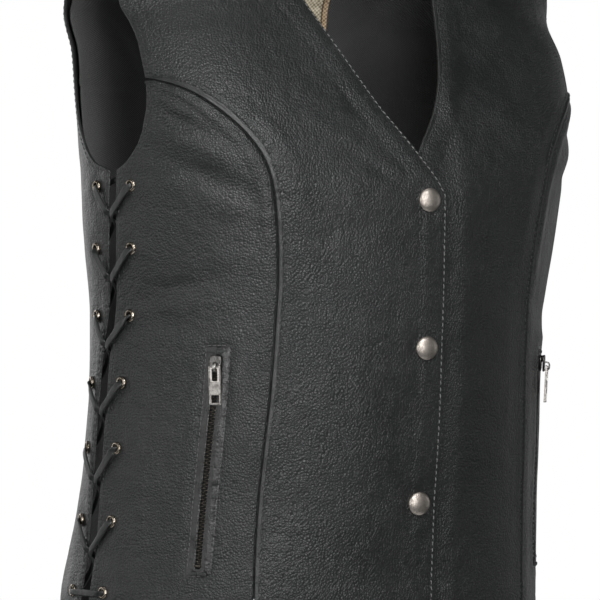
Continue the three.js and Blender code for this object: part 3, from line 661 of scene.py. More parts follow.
def build_front_centre(side):
    tag = "R" if side < 0 else "L"
    lo, hi, split = HEM, TOP, -153.1
    rows = spaced(hi - lo, 2.2) + lo
    rows = np.sort(np.concatenate([rows, [split - 0.6, split + 0.1, -226, -224, -222, -230]]))
    left = lambda v: neck_psi(v, side)
    gap = 0.06
    outer = lambda v: np.where(v < split, princess_psi(v), arm_front_psi(v)) - gap
    S = Sheet(rows, left, outer, 2.1)
    P = form(side * S.psi, S.V)
    x_own = np.where(S.psi < 0, -1, 1) * np.abs(P[..., 0])
    dn = true_distance(S.dl, left, S.V); dp = true_distance(S.dr, outer, S.V)
    db, dt = edge_distance_rows(S.V, lo, hi + 9, S.psi)
    edge = np.minimum.reduce([dn, dp, db, dt])
    # the corner where neckline and placket meet, and the hem corner, are rounded off by the rim
    r = front_relief(side, S.psi, S.V, P)
    near = smooth(np.minimum(dn, dp) / 14)
    r = r * (0.35 + 0.65 * near)
    # facing: a soft step and its ridge along the neckline, placket and armhole
    neckline = smooth((S.V + 240) / 20)
    r += 0.45 * smooth((FACING + 2 - dn) / 5) + 0.35 * bell(dn - FACING, 2.6) * (0.6 + 0.4 * np.sin(S.V / 23.0))
    r += -0.28 * bell(dn - 2.9, 0.8)
    seam = smooth((split + 3 - S.V) / 6)
    # princess seam: the fold stands up, a groove at its stitches
    r += seam * (0.75 * smooth((BAND + 0.4 - dp) / 0.7) + 0.42 * bell(dp - BAND + 0.35, 0.5) - 0.55 * bell(dp - BAND - 0.75, 0.6)
                 - 0.22 * bell(dp - 1.7, 0.9) + 0.45 * smooth((13 - dp) / 6))
    # the cup stands out beside the seam
    cup = smooth((S.V + 290) / 50) * smooth((-152 - S.V) / 45)
    r += cup * 1.5 * bell(dp - 15, 10)
    r += neckline * 0.75 * bell(dn - 9.5, 5.5)
    arm = 1 - seam
    r += arm * (0.35 * smooth((11 - dp) / 4) - 0.30 * bell(dp - 4.2, 0.8))
    r += 0.35 * smooth((22 - db) / 5) - 0.2 * bell(db - 8, 0.9)
    depth = depth_at(side, x_own)
    ob = shell("front_centre_%s_leather" % tag, side * S.psi, S.V, edge, r, 1.7, flip=side < 0, depth=depth)
    band = (dp < BAND + 0.15) & (S.V < split + 1)
    paint_layers(ob, S.psi.shape, band)
    return ob, S


def build_front_side(side):
    tag = "R" if side < 0 else "L"
    lo, hi = HEM, -155.0
    rows = spaced(hi - lo, 2.0) + lo
    gap = 0.06
    left = lambda v: princess_psi(v) + gap
    S = Sheet(rows, left, side_front_psi, 2.0)
    P = form(side * S.psi, S.V)
    dp = true_distance(S.dl, left, S.V); ds = true_distance(S.dr, side_front_psi, S.V)
    db, dt = edge_distance_rows(S.V, lo, hi, S.psi)
    edge = np.minimum.reduce([ds, db, dt + 2])
    r = front_relief(side, S.psi, S.V, P)
    near = smooth(np.minimum(ds, dp) / 14)
    r = r * (0.35 + 0.65 * near)
    cup = smooth((S.V + 300) / 60)
    r += -0.75 * smooth((1.3 - dp) / 1.3) + (0.25 + 0.95 * cup) * bell(dp - 6.5, 4.5)
    r += 0.30 * smooth((9 - ds) / 3) - 0.25 * bell(ds - 3.4, 0.8)
    # the hide is pulled at each eyelet
    for ev in EYE_ROWS:
        y = float(through(SIDE_FRONT, 1, ev)) - EYE_EDGE
        d = np.hypot(P[..., 1] + STANCE * S.V - y, S.V - ev)
        r += -0.55 * bell(d - 6.2, 2.4) + 0.25 * bell(np.hypot(P[..., 1] + STANCE * S.V - y + 9, S.V - ev), 6)
    # the pocket's opening is sunk between its stitched edges
    zc = zip_psi(S.V)
    across = arc_on_row(S.psi, S.V, zc)
    along = np.maximum(ZIP["bottom"] - S.V, S.V - ZIP["top"])
    dz = np.hypot(np.maximum(np.abs(across) - 5.2, 0), np.maximum(along, 0))
    r += -0.9 * bell(dz, 2.0) + 0.55 * bell(dz - 8.0, 3.4)
    r += 0.25 * smooth((22 - db) / 5) - 0.2 * bell(db - 8, 0.9)
    ob = shell("front_side_%s_leather" % tag, side * S.psi, S.V, edge, r, 1.6, flip=side < 0)
    paint_layers(ob, S.psi.shape)
    return ob, S


def zip_psi(v):
    return ZIP["psi_top"] + (ZIP["psi_bottom"] - ZIP["psi_top"]) * (ZIP["top"] - v) / (ZIP["top"] - ZIP["bottom"])


def back_grid(rows, ncols, inset=0.0):
    s = np.linspace(-1, 1, ncols)
    v = np.asarray(rows, float)
    low = v <= -60
    e = 180 - side_back_psi(v) - inset
    psi = 180 - s[None, :] * e[:, None]
    V = np.repeat(v[:, None], ncols, 1)
    t = (v + 60) / (TOP + 60)
    xe = through(ARM_BACK_TOP, 1, v) - inset * 2.4
    xs = s[None, :] * xe[:, None]
    top = np.where(np.abs(xs) >= 80, TOP, through(NAPE, 1, np.minimum(np.abs(xs), 80)))
    vv = -60 + (top + 60) * t[:, None]
    p = psi_x(np.maximum(np.abs(xs), 1e-6), vv, True)
    up = ~low
    V[up] = vv[up]
    psi[up] = np.where(xs < 0, 360 - p, p)[up]
    return psi, V


def back_relief(P, V):
    r = 0.9 * swell(P * np.array([1.0, 1.0, 1.0]) + 40)
    r += fold_field(P[..., 0], V, BACK_FOLDS)
    return r


def grid_edges(P):
    """distance of each grid point to the four edges of its own grid"""
    def cum(axis):
        seg = np.linalg.norm(np.diff(P, axis=axis), axis=2)
        pad = [(0, 0), (0, 0)]; pad[axis] = (1, 0)
        return np.pad(np.cumsum(seg, axis), pad)
    cx, cy = cum(1), cum(0)
    return cx, cx[:, -1:] - cx, cy, cy[-1:, :] - cy


def clustered(lo, hi, step):
    return spaced(hi - lo, step) + lo


def build_back():
    rows = clustered(HEM, TOP, 2.5)
    n = 150
    psi, V = back_grid(rows, n)
    # columns close up towards the side edges
    s = np.linspace(-1, 1, n); w = 350.0
    s2 = spaced(w, w / (n - 13)) / w * 2 - 1
    psi = np.stack([np.interp(s2, s, psi[j]) if psi[j, 0] < psi[j, -1] else np.interp(s2, s, psi[j]) for j in range(len(rows))])
    V = np.stack([np.interp(s2, s, V[j]) for j in range(len(rows))])
    P = form(psi, V)
    cl, cr, cb, ct = grid_edges(P)
    f = lambda v: side_back_psi(v)
    edge = np.minimum.reduce([cl, cr, cb, ct])
    r = back_relief(P, V)
    side_d = np.minimum(cl, cr)
    r = r * (0.35 + 0.65 * smooth(side_d / 14))
    r += 0.30 * smooth((9 - side_d) / 3) - 0.25 * bell(side_d - 3.4, 0.8)
    r += 0.30 * smooth((22 - cb) / 5) - 0.2 * bell(cb - 8, 0.9)
    r += 0.30 * smooth((11 - ct) / 4)
    for ev in EYE_ROWS:
        y = float(through(SIDE_FRONT, 1, ev) + through(GAP, 1, ev)) + EYE_EDGE
        d = np.hypot(P[..., 1] + STANCE * V - y, V - ev)
        r += -0.55 * bell(d - 6.2, 2.4) + 0.25 * bell(np.hypot(P[..., 1] + STANCE * V - y - 9, V - ev), 6)
    ob = shell("back_leather", psi, V, edge, r, 1.7, flip=True)
    paint_layers(ob, psi.shape)
    return ob


def finish_holes(ob, spots):
    """cut the eyelet holes through a panel: spots are (point, normal) in mm"""
    verts, faces = [], []
    n = 20
    for p, nv in spots:
        q = Vector(nv).to_track_quat("Z", "Y")
        b = len(verts)
        for z in (-7, 7):
            for k in range(n):
                a = 2 * math.pi * k / n
                verts.append(tuple(Vector(p) + q @ Vector((2.75 * math.cos(a), 2.75 * math.sin(a), z))))
        for k in range(n):
            faces.append((b + k, b + (k + 1) % n, b + n + (k + 1) % n, b + n + k))
        faces.append(tuple(b + k for k in reversed(range(n)))); faces.append(tuple(b + n + k for k in range(n)))
    cut = mesh_object("hole_cutter", verts, faces, False)
    md = ob.modifiers.new("holes", "BOOLEAN"); md.operation = "DIFFERENCE"; md.object = cut; md.solver = "EXACT"
    dg = bpy.context.evaluated_depsgraph_get()
    me = bpy.data.meshes.new_from_object(ob.evaluated_get(dg))
    ob.modifiers.clear()
    old = ob.data; ob.data = me; bpy.data.meshes.remove(old)
    bpy.data.objects.remove(cut, do_unlink=True)
    ob.data.polygons.foreach_set("use_smooth", [True] * len(ob.data.polygons))
    ob.data.update()


def eye_spots(side, front):
    out = []
    for v in EYE_ROWS:
        y = float(through(SIDE_FRONT, 1, v)) - EYE_EDGE if front else float(through(SIDE_FRONT, 1, v) + through(GAP, 1, v)) + EYE_EDGE
        psi = side * float(psi_y(y, v))
        out.append((on_form(np.array(psi), np.array(v), 0.0), normal(np.array(psi), np.array(v))))
    return out


PANELS = {}
for side in (-1, 1):
    tag = "R" if side < 0 else "L"
    ob, S = build_front_centre(side)
    finish_piece(ob, None, replaces=("front_centre_" + tag,)); PANELS["fc" + tag] = ob
    ob, S = build_front_side(side)
    finish_holes(ob, eye_spots(side, True))
    finish_piece(ob, None, replaces=("front_side_" + tag,)); PANELS["fs" + tag] = ob
ob = build_back()
finish_holes(ob, eye_spots(-1, False) + eye_spots(1, False))
finish_piece(ob, None, replaces=("back",)); PANELS["back"] = ob


# ------------------------------------------------------------------ back lining and label
def build_lining():
    rows = clustered(HEM + 24, TOP - 3, 3.0)
    psi, V = back_grid(rows, 110, 6.0)
    P = form(psi, V)
    cl, cr, cb, ct = grid_edges(P)
    edge = np.minimum.reduce([cl, cr, cb, ct])
    x, z = P[..., 0], V
    # slack folds: soft diagonal drags from the shoulders, and a seam across below the armholes' middle
    r = np.zeros_like(x)
    for fx, fz, su, sv, lean, h in LINING_FOLDS:
        a = math.radians(lean); dx, dz = x - fx, z - fz
        u, w = dx * math.cos(a) + dz * math.sin(a), -dx * math.sin(a) + dz * math.cos(a)
        r += h * np.exp(-(u / su) ** 2 - (w / sv) ** 2)
    r += -0.8 * bell(z + 156, 1.1) + 0.5 * bell(z + 151, 3.0)
    r = np.clip(r, -2.8, 1.6)
    return shell("back_lining_twill", psi, V, edge, r, 0.7, flip=True, depth=3.6, inner_relief=1.0)


LINING_FOLDS = [  # columns: x, row, half length, half width, lean, height
    (60, -66, 42, 5.0, 38, 1.6), (46, -92, 46, 5.5, 34, -1.8), (70, -100, 40, 5.0, 42, 1.4), (30, -112, 40, 6.0, 24, 1.0),
    (92, -118, 34, 5.5, 48, -1.6), (58, -130, 44, 6.0, 26, -1.2), (104, -90, 30, 5.0, 52, 1.3), (20, -140, 36, 6.0, 12, 0.8),
    (-60, -70, 42, 5.0, -38, 1.4), (-48, -96, 46, 5.5, -32, -1.6), (-78, -106, 40, 5.0, -44, 1.3), (-96, -126, 34, 6.0, -50, -1.4),
    (-30, -220, 60, 8.0, 6, -1.0), (48, -260, 56, 8.0, -8, 1.0), (-60, -320, 50, 8.0, 10, 1.0), (40, -352, 60, 8.0, -4, -1.2),
    (-10, -410, 60, 9.0, 3, 0.9),
]
ob = build_lining()
finish_piece(ob, M_LINING, replaces=("back_lining",))



def build_label():
    rows = clustered(-132, -66, 1.5)
    xs = clustered(-72.3, 72.3, 2.0)
    V = np.repeat(rows[:, None], len(xs), 1)
    X = np.repeat(xs[None, :], len(rows), 0)
    P0 = psi_x(np.maximum(np.abs(X), 1e-6), V, True)
    psi = np.where(X < 0, 360 - P0, P0)
    P = form(psi, V)
    cl, cr, cb, ct = grid_edges(P)
    edge = np.minimum.reduce([cl, cr, cb, ct])
    r = 0.5 * np.sin(X / 17 + 0.6) * np.sin(V / 15) - 0.5 * bell(edge - 2.2, 0.9) + 0.25
    return shell("label_weave", psi, V, edge, r, 0.5, flip=False, depth=6.0)


def weave_mat(name):
    """tan weave in the middle, a khaki border strip, and at its ends a dark band painted as the shade of the turned
    edge
    """
    m, nt, bs = new_mat(name)
    tc = node(nt, "ShaderNodeTexCoord")
    sep = nt.nodes.new("ShaderNodeSeparateXYZ"); nt.links.new(tc.outputs["Object"], sep.inputs[0])
    ax = mathn(nt, "ABSOLUTE", sep.outputs["X"])
    sx = mathn(nt, "SINE", mathn(nt, "MULTIPLY", sep.outputs["X"], 2 * math.pi / 0.0030))
    sz = mathn(nt, "SINE", mathn(nt, "MULTIPLY", sep.outputs["Z"], 2 * math.pi / 0.0026))
    w = mathn(nt, "MULTIPLY", sx, sz)
    b = node(nt, "ShaderNodeBump", Strength=1.0, Distance=0.00022)
    nt.links.new(w, b.inputs["Height"]); nt.links.new(b.outputs[0], bs.inputs["Normal"])
    n1 = node(nt, "ShaderNodeTexNoise", Scale=240.0, Detail=3.0)
    nt.links.new(tc.outputs["Object"], n1.inputs["Vector"])
    tone = ramp(nt, mathn(nt, "ADD", mathn(nt, "MULTIPLY", w, 0.28), n1.outputs["Fac"]),
                [(0.2, (0.16, 0.13, 0.085)), (0.5, (0.46, 0.40, 0.29)), (0.85, (0.72, 0.64, 0.50))])
    # across the ends: the weave, a thin dark line, the khaki border strip, then a dark band that is painted shade of
    # the turned edge
    strip = ramp(nt, mathn(nt, "MULTIPLY", ax, 1000 / 72.3),
                 [(0.0, (1, 1, 1)), (0.905, (1, 1, 1)), (0.908, (0.2, 0.16, 0.12)), (0.922, (0.2, 0.16, 0.12)), (0.925, (0.92, 0.76, 0.64)),
                  (0.972, (0.92, 0.76, 0.64)), (0.975, (0.10, 0.09, 0.08)), (1.0, (0.10, 0.09, 0.08))])
    mix = nt.nodes.new("ShaderNodeMix"); mix.data_type = "RGBA"; mix.blend_type = "MULTIPLY"; mix.inputs["Factor"].default_value = 1.0
    nt.links.new(tone, mix.inputs["A"]); nt.links.new(strip, mix.inputs["B"])
    nt.links.new(mix.outputs["Result"], bs.inputs["Base Color"])
    bs.inputs["Roughness"].default_value = 0.85
    bs.inputs["Sheen Weight"].default_value = 0.2
    return m


M_LABEL = weave_mat("tan_weave")
ob = build_label()
finish_piece(ob, M_LABEL, replaces=("label",))


# ------------------------------------------------------------------ small solids
def join_meshes(name, parts, smooth_shade=True):
    """one mesh of many (verts, faces) parts, in mm"""
    V, F, n = [], [], 0
    for v, f in parts:
        V.append(np.asarray(v, float)); F += [tuple(i + n for i in q) for q in f]; n += len(v)
    return mesh_object(name, np.concatenate(V), F, smooth_shade)


def frame_at(psi, v, off, lean=0.0):
    """origin and axes: across, up along the rows, outwards"""
    psi, v = np.array(float(psi)), np.array(float(v))
    o, n = on_form(psi, v, off), normal(psi, v)
    up = form(psi + lean * 0.5, v + 0.5) - form(psi - lean * 0.5, v - 0.5)
    up = unit(up - n * np.dot(up, n))
    return o, np.cross(up, n), up, n


def to_frame(fr, pts):
    o, a, u, n = fr
    p = np.asarray(pts, float)
    return o + p[:, :1] * a + p[:, 1:2] * u + p[:, 2:3] * n


def lathe_part(profile, seg, fr):
    """closed profile of (radius, height) turned about the frame's outward axis"""
    P = np.asarray(profile, float); m = len(P)
    t = np.linspace(0, 2 * math.pi, seg, endpoint=False)
    pts = np.stack([np.outer(np.cos(t), P[:, 0]), np.outer(np.sin(t), P[:, 0]), np.tile(P[:, 1], (seg, 1))], -1).reshape(-1, 3)
    faces = []
    for s in range(seg):
        for k in range(m):
            a, b = s * m + k, s * m + (k + 1) % m
            c, d = ((s + 1) % seg) * m + (k + 1) % m, ((s + 1) % seg) * m + k
            if P[k, 0] < 1e-6 and P[(k + 1) % m, 0] < 1e-6:
                continue
            faces.append((d, c, b, a))
    return to_frame(fr, pts), faces


def rounded(points, r, n=4):
    """corners of an open profile turned with small arcs"""
    P = [np.array(p, float) for p in points]; out = [P[0]]
    for i in range(1, len(P) - 1):
        a, b = unit(P[i - 1] - P[i]), unit(P[i + 1] - P[i])
        q = min(r, 0.45 * np.linalg.norm(P[i - 1] - P[i]), 0.45 * np.linalg.norm(P[i + 1] - P[i]))
        for k in range(n + 1):
            t = k / n
            out.append((1 - t) ** 2 * (P[i] + a * q) + 2 * t * (1 - t) * P[i] + t * t * (P[i] + b * q))
    out.append(P[-1])
    return out


def weld(ob, d=0.004):
    """close up points that coincide, such as those on the axis of a turned piece"""
    import bmesh
    bm = bmesh.new(); bm.from_mesh(ob.data)
    bmesh.ops.remove_doubles(bm, verts=bm.verts, dist=d * MM)
    bmesh.ops.recalc_face_normals(bm, faces=bm.faces)
    bm.to_mesh(ob.data); bm.free()
    return ob


# snap caps: domed, with a rolled rim that stands in a soft dent of the leather
dome = [(0, 2.75), (1.6, 2.70), (3.1, 2.52), (4.5, 2.22), (5.6, 1.84), (6.4, 1.45), (6.95, 1.05), (7.35, 0.62), (7.48, 0.25), (7.40, -0.05), (7.0, -0.3), (0, -0.3)]
dome = [(a * 1.03, b) for a, b in dome[:-2]] + [(7.3, -1.0), (0, -1.0)]
for k, v in enumerate(SNAP_ROWS):
    # the placket twists a little, so each cap faces some degrees to the wearer's right
    o_, a_, u_, n_ = frame_at(0, v, 0.95)
    tw = math.radians(-10)
    fr = (o_, a_ * math.cos(tw) - n_ * math.sin(tw), u_, n_ * math.cos(tw) + a_ * math.sin(tw))
    ob = join_meshes("snap_cap_%d_metal" % (k + 1), [lathe_part(dome, 64, fr)])
    finish_piece(weld(ob), M_NICKEL, replaces=("snap_cap_%d" % (k + 1),))
    d = LAP_DROP + LEATHER + 0.3 + (0.1 if k else 1.1)
    low = rounded([(0, -0.1), (5.6, -0.1), (5.9, -1.0), (4.6, -1.9), (3.6, -1.9), (3.2, -1.0), (2.0, -0.9), (0, -0.9)], 0.3)
    ob = join_meshes("snap_back_%d_metal" % (k + 1), [lathe_part(low[::-1], 40, frame_at(0, v, -d))])
    finish_piece(weld(ob), M_NICKEL, replaces=("snap_back_%d" % (k + 1),))

# eyelets: a rolled ring outside and a barrel through the leather
ring = [(2.35, 0.55), (2.42, 0.95), (2.70, 1.22), (3.10, 1.30), (3.55, 1.18), (3.95, 0.85), (4.20, 0.40), (4.25, 0.05), (4.20, -0.35),
        (2.95, -0.35), (2.70, -0.6), (2.70, -1.7), (2.60, -1.9), (2.42, -1.9), (2.35, -1.7)]
for side in (-1, 1):
    tag = "R" if side < 0 else "L"
    for front in (True, False):
        for k, v in enumerate(EYE_ROWS):
            y = float(through(SIDE_FRONT, 1, v)) - EYE_EDGE if front else float(through(SIDE_FRONT, 1, v) + through(GAP, 1, v)) + EYE_EDGE
            what = "eyelet_%s_%s%d" % ("front" if front else "back", tag, k + 1)
            ob = join_meshes(what + "_ring", [lathe_part(ring, 36, frame_at(side * float(psi_y(y, v)), v, 0.0))])
            finish_piece(ob, M_BRASS, replaces=(what,))


# ------------------------------------------------------------------ side laces
def curve_through(points, step):
    """smooth line through points, at an even step; extra columns ride along"""
    P = np.asarray(points, float)
    Q = np.concatenate([[2 * P[0] - P[1]], P, [2 * P[-1] - P[-2]]])
    out = []
    for i in range(1, len(Q) - 2):
        t = np.linspace(0, 1, 14, endpoint=False)[:, None]
        d0 = max(np.linalg.norm(Q[i, :3] - Q[i - 1, :3]), 1e-3) ** 0.5; d1 = max(np.linalg.norm(Q[i + 1, :3] - Q[i, :3]), 1e-3) ** 0.5
        d2 = max(np.linalg.norm(Q[i + 2, :3] - Q[i + 1, :3]), 1e-3) ** 0.5
        m1 = (Q[i] - Q[i - 1]) / d0 - (Q[i + 1] - Q[i - 1]) / (d0 + d1) + (Q[i + 1] - Q[i]) / d1
        m2 = (Q[i + 1] - Q[i]) / d1 - (Q[i + 2] - Q[i]) / (d1 + d2) + (Q[i + 2] - Q[i + 1]) / d2
        m1, m2 = m1 * d1, m2 * d1
        out.append((2 * t ** 3 - 3 * t ** 2 + 1) * Q[i] + (t ** 3 - 2 * t ** 2 + t) * m1 + (-2 * t ** 3 + 3 * t ** 2) * Q[i + 1] + (t ** 3 - t ** 2) * m2)
    C = np.concatenate(out + [P[-1:]])
    s = np.concatenate([[0], np.cumsum(np.linalg.norm(np.diff(C[:, :3], axis=0), axis=1))])
    n = max(2, int(s[-1] / step))
    k = np.linspace(0, s[-1], n + 1)
    return np.stack([np.interp(k, s, C[:, c]) for c in range(C.shape[1])], 1), s[-1]


CROSSING = [  # how far along a crossing; then height for the run that lies over and for the one under; width; thickness
    (0.03, 2.0, 2.0, 4.6, 1.5), (0.12, 2.35, 2.35, 5.0, 1.4), (0.31, 2.2, 2.3, 4.8, 1.4), (0.40, 2.5, 1.9, 4.7, 1.4),
    (0.48, 1.0, -2.4, 4.4, 1.3), (0.54, -1.8, -4.4, 4.2, 1.3), (0.61, -4.6, -4.8, 4.2, 1.3), (0.93, -5.0, -5.0, 4.2, 1.3),
]


def lace_route(side):
    """points of the lace with its width and thickness: down one run, along the bottom bar, and up the other"""
    def y(front, k):
        v = EYE_ROWS[k]; s, g = float(through(SIDE_FRONT, 1, v)), float(through(GAP, 1, v))
        return s - EYE_EDGE if front else s + g + EYE_EDGE

    def at(yy, v, off, w, t):
        psi = np.array(side * float(psi_y(yy, v)))
        return (*on_form(psi, np.array(float(v)), off), w, t)
    last = len(EYE_ROWS) - 1

    def run(front):
        out = []
        v0, y0, g = EYE_ROWS[0], y(front, 0), 1 if front else -1
        out += [at(y0 + g * 14.5, v0 + (-1.5 if front else 4), -5.2, 3.8, 1.2), at(y0 + g * 7, v0 + (-1 if front else 2), -5.0, 4.0, 1.2),
                at(y0 + g * 1.2, v0, -4.4, 3.4, 1.6)]
        for k in range(last):
            ya, yb, va, vb = y(front, k), y(not front, k + 1), EYE_ROWS[k], EYE_ROWS[k + 1]
            out += [at(ya, va - 0.1, -2.2, 3.6, 2.7), at(ya, va - 0.35, 0.7, 4.0, 2.4)]
            for t, hi, lo, w, th in CROSSING:
                out.append(at(ya + (yb - ya) * max(t, 0.045), va + (vb - va) * max(t, 0.045), hi if front else lo, w, th))
            front = not front
        out += [at(y(front, last), EYE_ROWS[last] - 0.1, -2.2, 3.6, 2.7), at(y(front, last), EYE_ROWS[last] - 0.3, 0.7, 3.8, 2.4)]
        return out, front
    down, end_front = run(True)
    up, _ = run(False)
    ya, yb, v = y(end_front, last), y(not end_front, last), EYE_ROWS[last]
    bar = [at(ya + (yb - ya) * t, v - 0.8, off, w, 1.2) for t, off, w in ((0.06, 1.9, 3.8), (0.25, 2.2, 4.2), (0.5, 2.0, 4.2), (0.75, 2.2, 4.2), (0.94, 1.9, 3.8))]
    return down + bar + up[::-1]


def form_normal_near(p):
    """outward direction of the form beside a point, from its own height and angle"""
    a = np.arctan2(p[:, 0], -(p[:, 1] + STANCE * p[:, 2]))
    n = np.stack([np.sin(a), -np.cos(a), 0 * a], 1)
    n[:, 0] *= 1.25
    return unit(n)


def thong(name, route, step=0.9):
    C, length = curve_through(route, step)
    P, W, T = C[:, :3], C[:, 3], C[:, 4]
    tan = unit(np.gradient(P, axis=0))
    N = form_normal_near(P)
    flat = np.zeros_like(P)
    f = unit(N[0] - tan[0] * np.dot(N[0], tan[0])); flat[0] = f
    for i in range(1, len(P)):
        f = f - tan[i] * np.dot(f, tan[i]); f = unit(f)
        want = N[i] - tan[i] * np.dot(N[i], tan[i])
        g = np.linalg.norm(want)
        if g > 1e-3:
            want = want / g
            if np.dot(want, f) < 0:
                want = -want
            f = unit(f + want * 0.5 * g * g)
        flat[i] = f
    # even the twist out in both directions
    for _ in range(6):
        flat[1:-1] = unit(flat[1:-1] * 2 + flat[:-2] + flat[2:])
        flat = unit(flat - tan * (flat * tan).sum(1, keepdims=True))
    side_v = np.cross(tan, flat)
    # section: a flat strip with rounded edges, slightly cupped
    k = 14; a = 2 * math.pi * np.arange(k) / k
    sx = np.sign(np.cos(a)) * np.abs(np.cos(a)) ** 0.55; sy = np.sign(np.sin(a)) * np.abs(np.sin(a)) ** 0.75
    # the strip's width is not quite even along it
    s = np.arange(len(P)) * step
    wv = W * (1 + 0.05 * np.sin(s / 7.3) + 0.035 * np.sin(s / 3.1 + 1))
    ring_pts = (P[:, None] + side_v[:, None] * (sx[None, :, None] * wv[:, None, None] / 2)
                + flat[:, None] * ((sy[None, :, None] * T[:, None, None] / 2) - 0.16 * (sx ** 2)[None, :, None] * (T < 1.5)[:, None, None]))
    verts = ring_pts.reshape(-1, 3); n = len(P)
    faces = []
    for i in range(n - 1):
        for j in range(k):
            a0, b0 = i * k + j, i * k + (j + 1) % k
            faces.append((a0, b0, b0 + k, a0 + k))
    faces.append(tuple(range(k))[::-1]); faces.append(tuple((n - 1) * k + j for j in range(k)))
    return mesh_object(name, verts, faces), P, length


for side in (-1, 1):
    tag = "R" if side < 0 else "L"
    ob, line, length = thong("lace_%s_strip" % tag, lace_route(side))
    finish_piece(ob, M_LACE, replaces=("lace_" + tag,))


# ------------------------------------------------------------------ stitches
from mathutils.bvhtree import BVHTree


def tree_of(objs):
    """all surfaces of some pieces, for setting threads and small parts down on them"""
    V, F = [], []
    for o in objs:
        n = len(V)
        V += [tuple(v.co) for v in o.data.vertices]
        F += [tuple(i + n for i in p.vertices) for p in o.data.polygons]
    return BVHTree.FromPolygons(V, F)


def settle(tree, pts, nrm, off):
    """move points along the form's normal onto a piece's outer surface, plus off mm"""
    out = np.array(pts, float)
    for i in range(len(pts)):
        o = Vector((pts[i] + nrm[i] * 9) * MM)
        hit = tree.ray_cast(o, Vector(-nrm[i]), 0.02)
        if hit[0] is not None:
            out[i] = np.array(hit[0]) / MM + nrm[i] * off
    return out


def path_on(psi, v, step=0.7):
    """an even line on the form from arrays of psi and row"""
    P = form(psi, v)
    s = np.concatenate([[0], np.cumsum(np.linalg.norm(np.diff(P, axis=0), axis=1))])
    k = np.arange(0, s[-1], step)
    return np.interp(k, s, psi), np.interp(k, s, v), s[-1]


def stitch_parts(tree, psi, v, pitch=STITCH, long=3.0, wide=0.85, rng=None, sink=0.0, start=0.5, lean=0.10):
    psi, v = np.asarray(psi, float), np.asarray(v, float)
    P = form(psi, v)
    s = np.concatenate([[0], np.cumsum(np.linalg.norm(np.diff(P, axis=0), axis=1))])
    parts = []
    n = int((s[-1] - start * pitch) / pitch)
    mids = (np.arange(n) + start) * pitch
    rows, sides = 7, 8
    for mid in mids:
        j = rng.normal(0, 0.10)
        L = long * (1 + rng.normal(0, 0.03))
        ks = np.linspace(mid - L / 2, mid + L / 2, rows) + j
        pp, vv = np.interp(ks, s, psi), np.interp(ks, s, v)
        c, nn = form(pp, vv), normal(pp, vv)
        c = settle(tree, c, nn, 0.12 - sink)
        t = unit(c[-1] - c[0]); m = nn[rows // 2]; w = np.cross(m, t)
        e = np.linspace(-1, 1, rows)
        c = c + w * (e * lean * L / 2)[:, None] + m * (0.10 - 0.42 * np.abs(e) ** 3)[:, None]
        r = wide / 2 * np.sqrt(np.maximum(1 - np.abs(e) ** 4, 0.05))
        a = 2 * math.pi * np.arange(sides) / sides
        pts = (c[:, None] + m * (np.sin(a)[None, :, None] * r[:, None, None] * 0.8) + w * (np.cos(a)[None, :, None] * r[:, None, None])).reshape(-1, 3)
        f = [(i * sides + q, i * sides + (q + 1) % sides, (i + 1) * sides + (q + 1) % sides, (i + 1) * sides + q) for i in range(rows - 1) for q in range(sides)]
        f += [tuple(range(sides))[::-1], tuple((rows - 1) * sides + q for q in range(sides))]
        parts.append((pts, f))
    return parts


def beside(f, v, d, sign):
    """psi at true distance d mm beside an edge f(v)"""
    p = f(v)
    s = slope_of(f, v)
    g = np.linalg.norm(form(p + 0.3, v) - form(p - 0.3, v), axis=-1) / 0.6
    return p + sign * d / np.sqrt(np.maximum(1 - s * s, 0.05)) / g


rng = np.random.default_rng(7)
fronts = {-1: tree_of([PANELS["fcR"]]), 1: tree_of([PANELS["fcL"]])}
sides_t = {-1: tree_of([PANELS["fsR"], PANELS["fcR"]]), 1: tree_of([PANELS["fsL"], PANELS["fcL"]])}
back_t = tree_of([PANELS["back"]])
for side in (-1, 1):
    tag = "R" if side < 0 else "L"
    # neckline and placket
    v = np.linspace(TOP - 2, HEM + 3, 900)
    p = beside(lambda q: neck_psi(q, side), v, (1.6 + 0.7 * smooth((-205 - v) / 25)) if side < 0 else 3.4, 1)
    parts = stitch_parts(fronts[side], side * p, v, rng=rng, wide=0.85 if side < 0 else 0.65)
    # the wearer's right front, on the lit side, gets the lighter grey thread as painted light; the left front gets the
    # dark thread
    ob = join_meshes("stitches_edge_%s" % tag, parts); finish_piece(ob, M_THREAD_LIT_SIDE if side < 0 else M_THREAD_DARK)
    # princess seam
    v = np.linspace(-155, HEM + 3, 800)
    p = beside(princess_psi, v, BAND + 0.8, -1)
    parts = stitch_parts(fronts[side], side * p, v, rng=rng, wide=0.7, sink=0.05)
    ob = join_meshes("stitches_princess_%s" % tag, parts); finish_piece(ob, M_THREAD_DARK)
    # armhole, front edge
    v = np.linspace(TOP - 2, -152, 500)
    p = beside(arm_front_psi, v, 4.2, -1)
    parts = stitch_parts(fronts[side], side * p, v, rng=rng, wide=0.65, sink=0.05)
    v = np.linspace(-157, HEM + 3, 800)
    p = beside(side_front_psi, v, 3.4, -1)
    parts += stitch_parts(sides_t[side], side * p, v, rng=rng, wide=0.65, sink=0.05)
    v = np.linspace(TOP - 3, HEM + 3, 900)
    p = beside(side_back_psi, v, 3.4, 1)
    parts += stitch_parts(back_t, side * p, v, rng=rng, wide=0.65, sink=0.05)
    ob = join_meshes("stitches_armhole_side_%s" % tag, parts); finish_piece(ob, M_THREAD_DARK)


# ------------------------------------------------------------------ slanted zip pockets
ZL = ZIP["top"] - ZIP["bottom"]
LEAN = -(ZIP["psi_bottom"] - ZIP["psi_top"]) / ZL


def zip_point(side, u, s, off):
    """u mm across from the teeth, positive towards the side edge; s mm down from the top; off mm outwards"""
    u, s = np.broadcast_arrays(np.asarray(u, float), np.asarray(s, float))
    v = ZIP["top"] - s
    psi = zip_psi(v) + u / 2.55
    return on_form(side * psi, v, np.broadcast_to(np.asarray(off, float), u.shape))


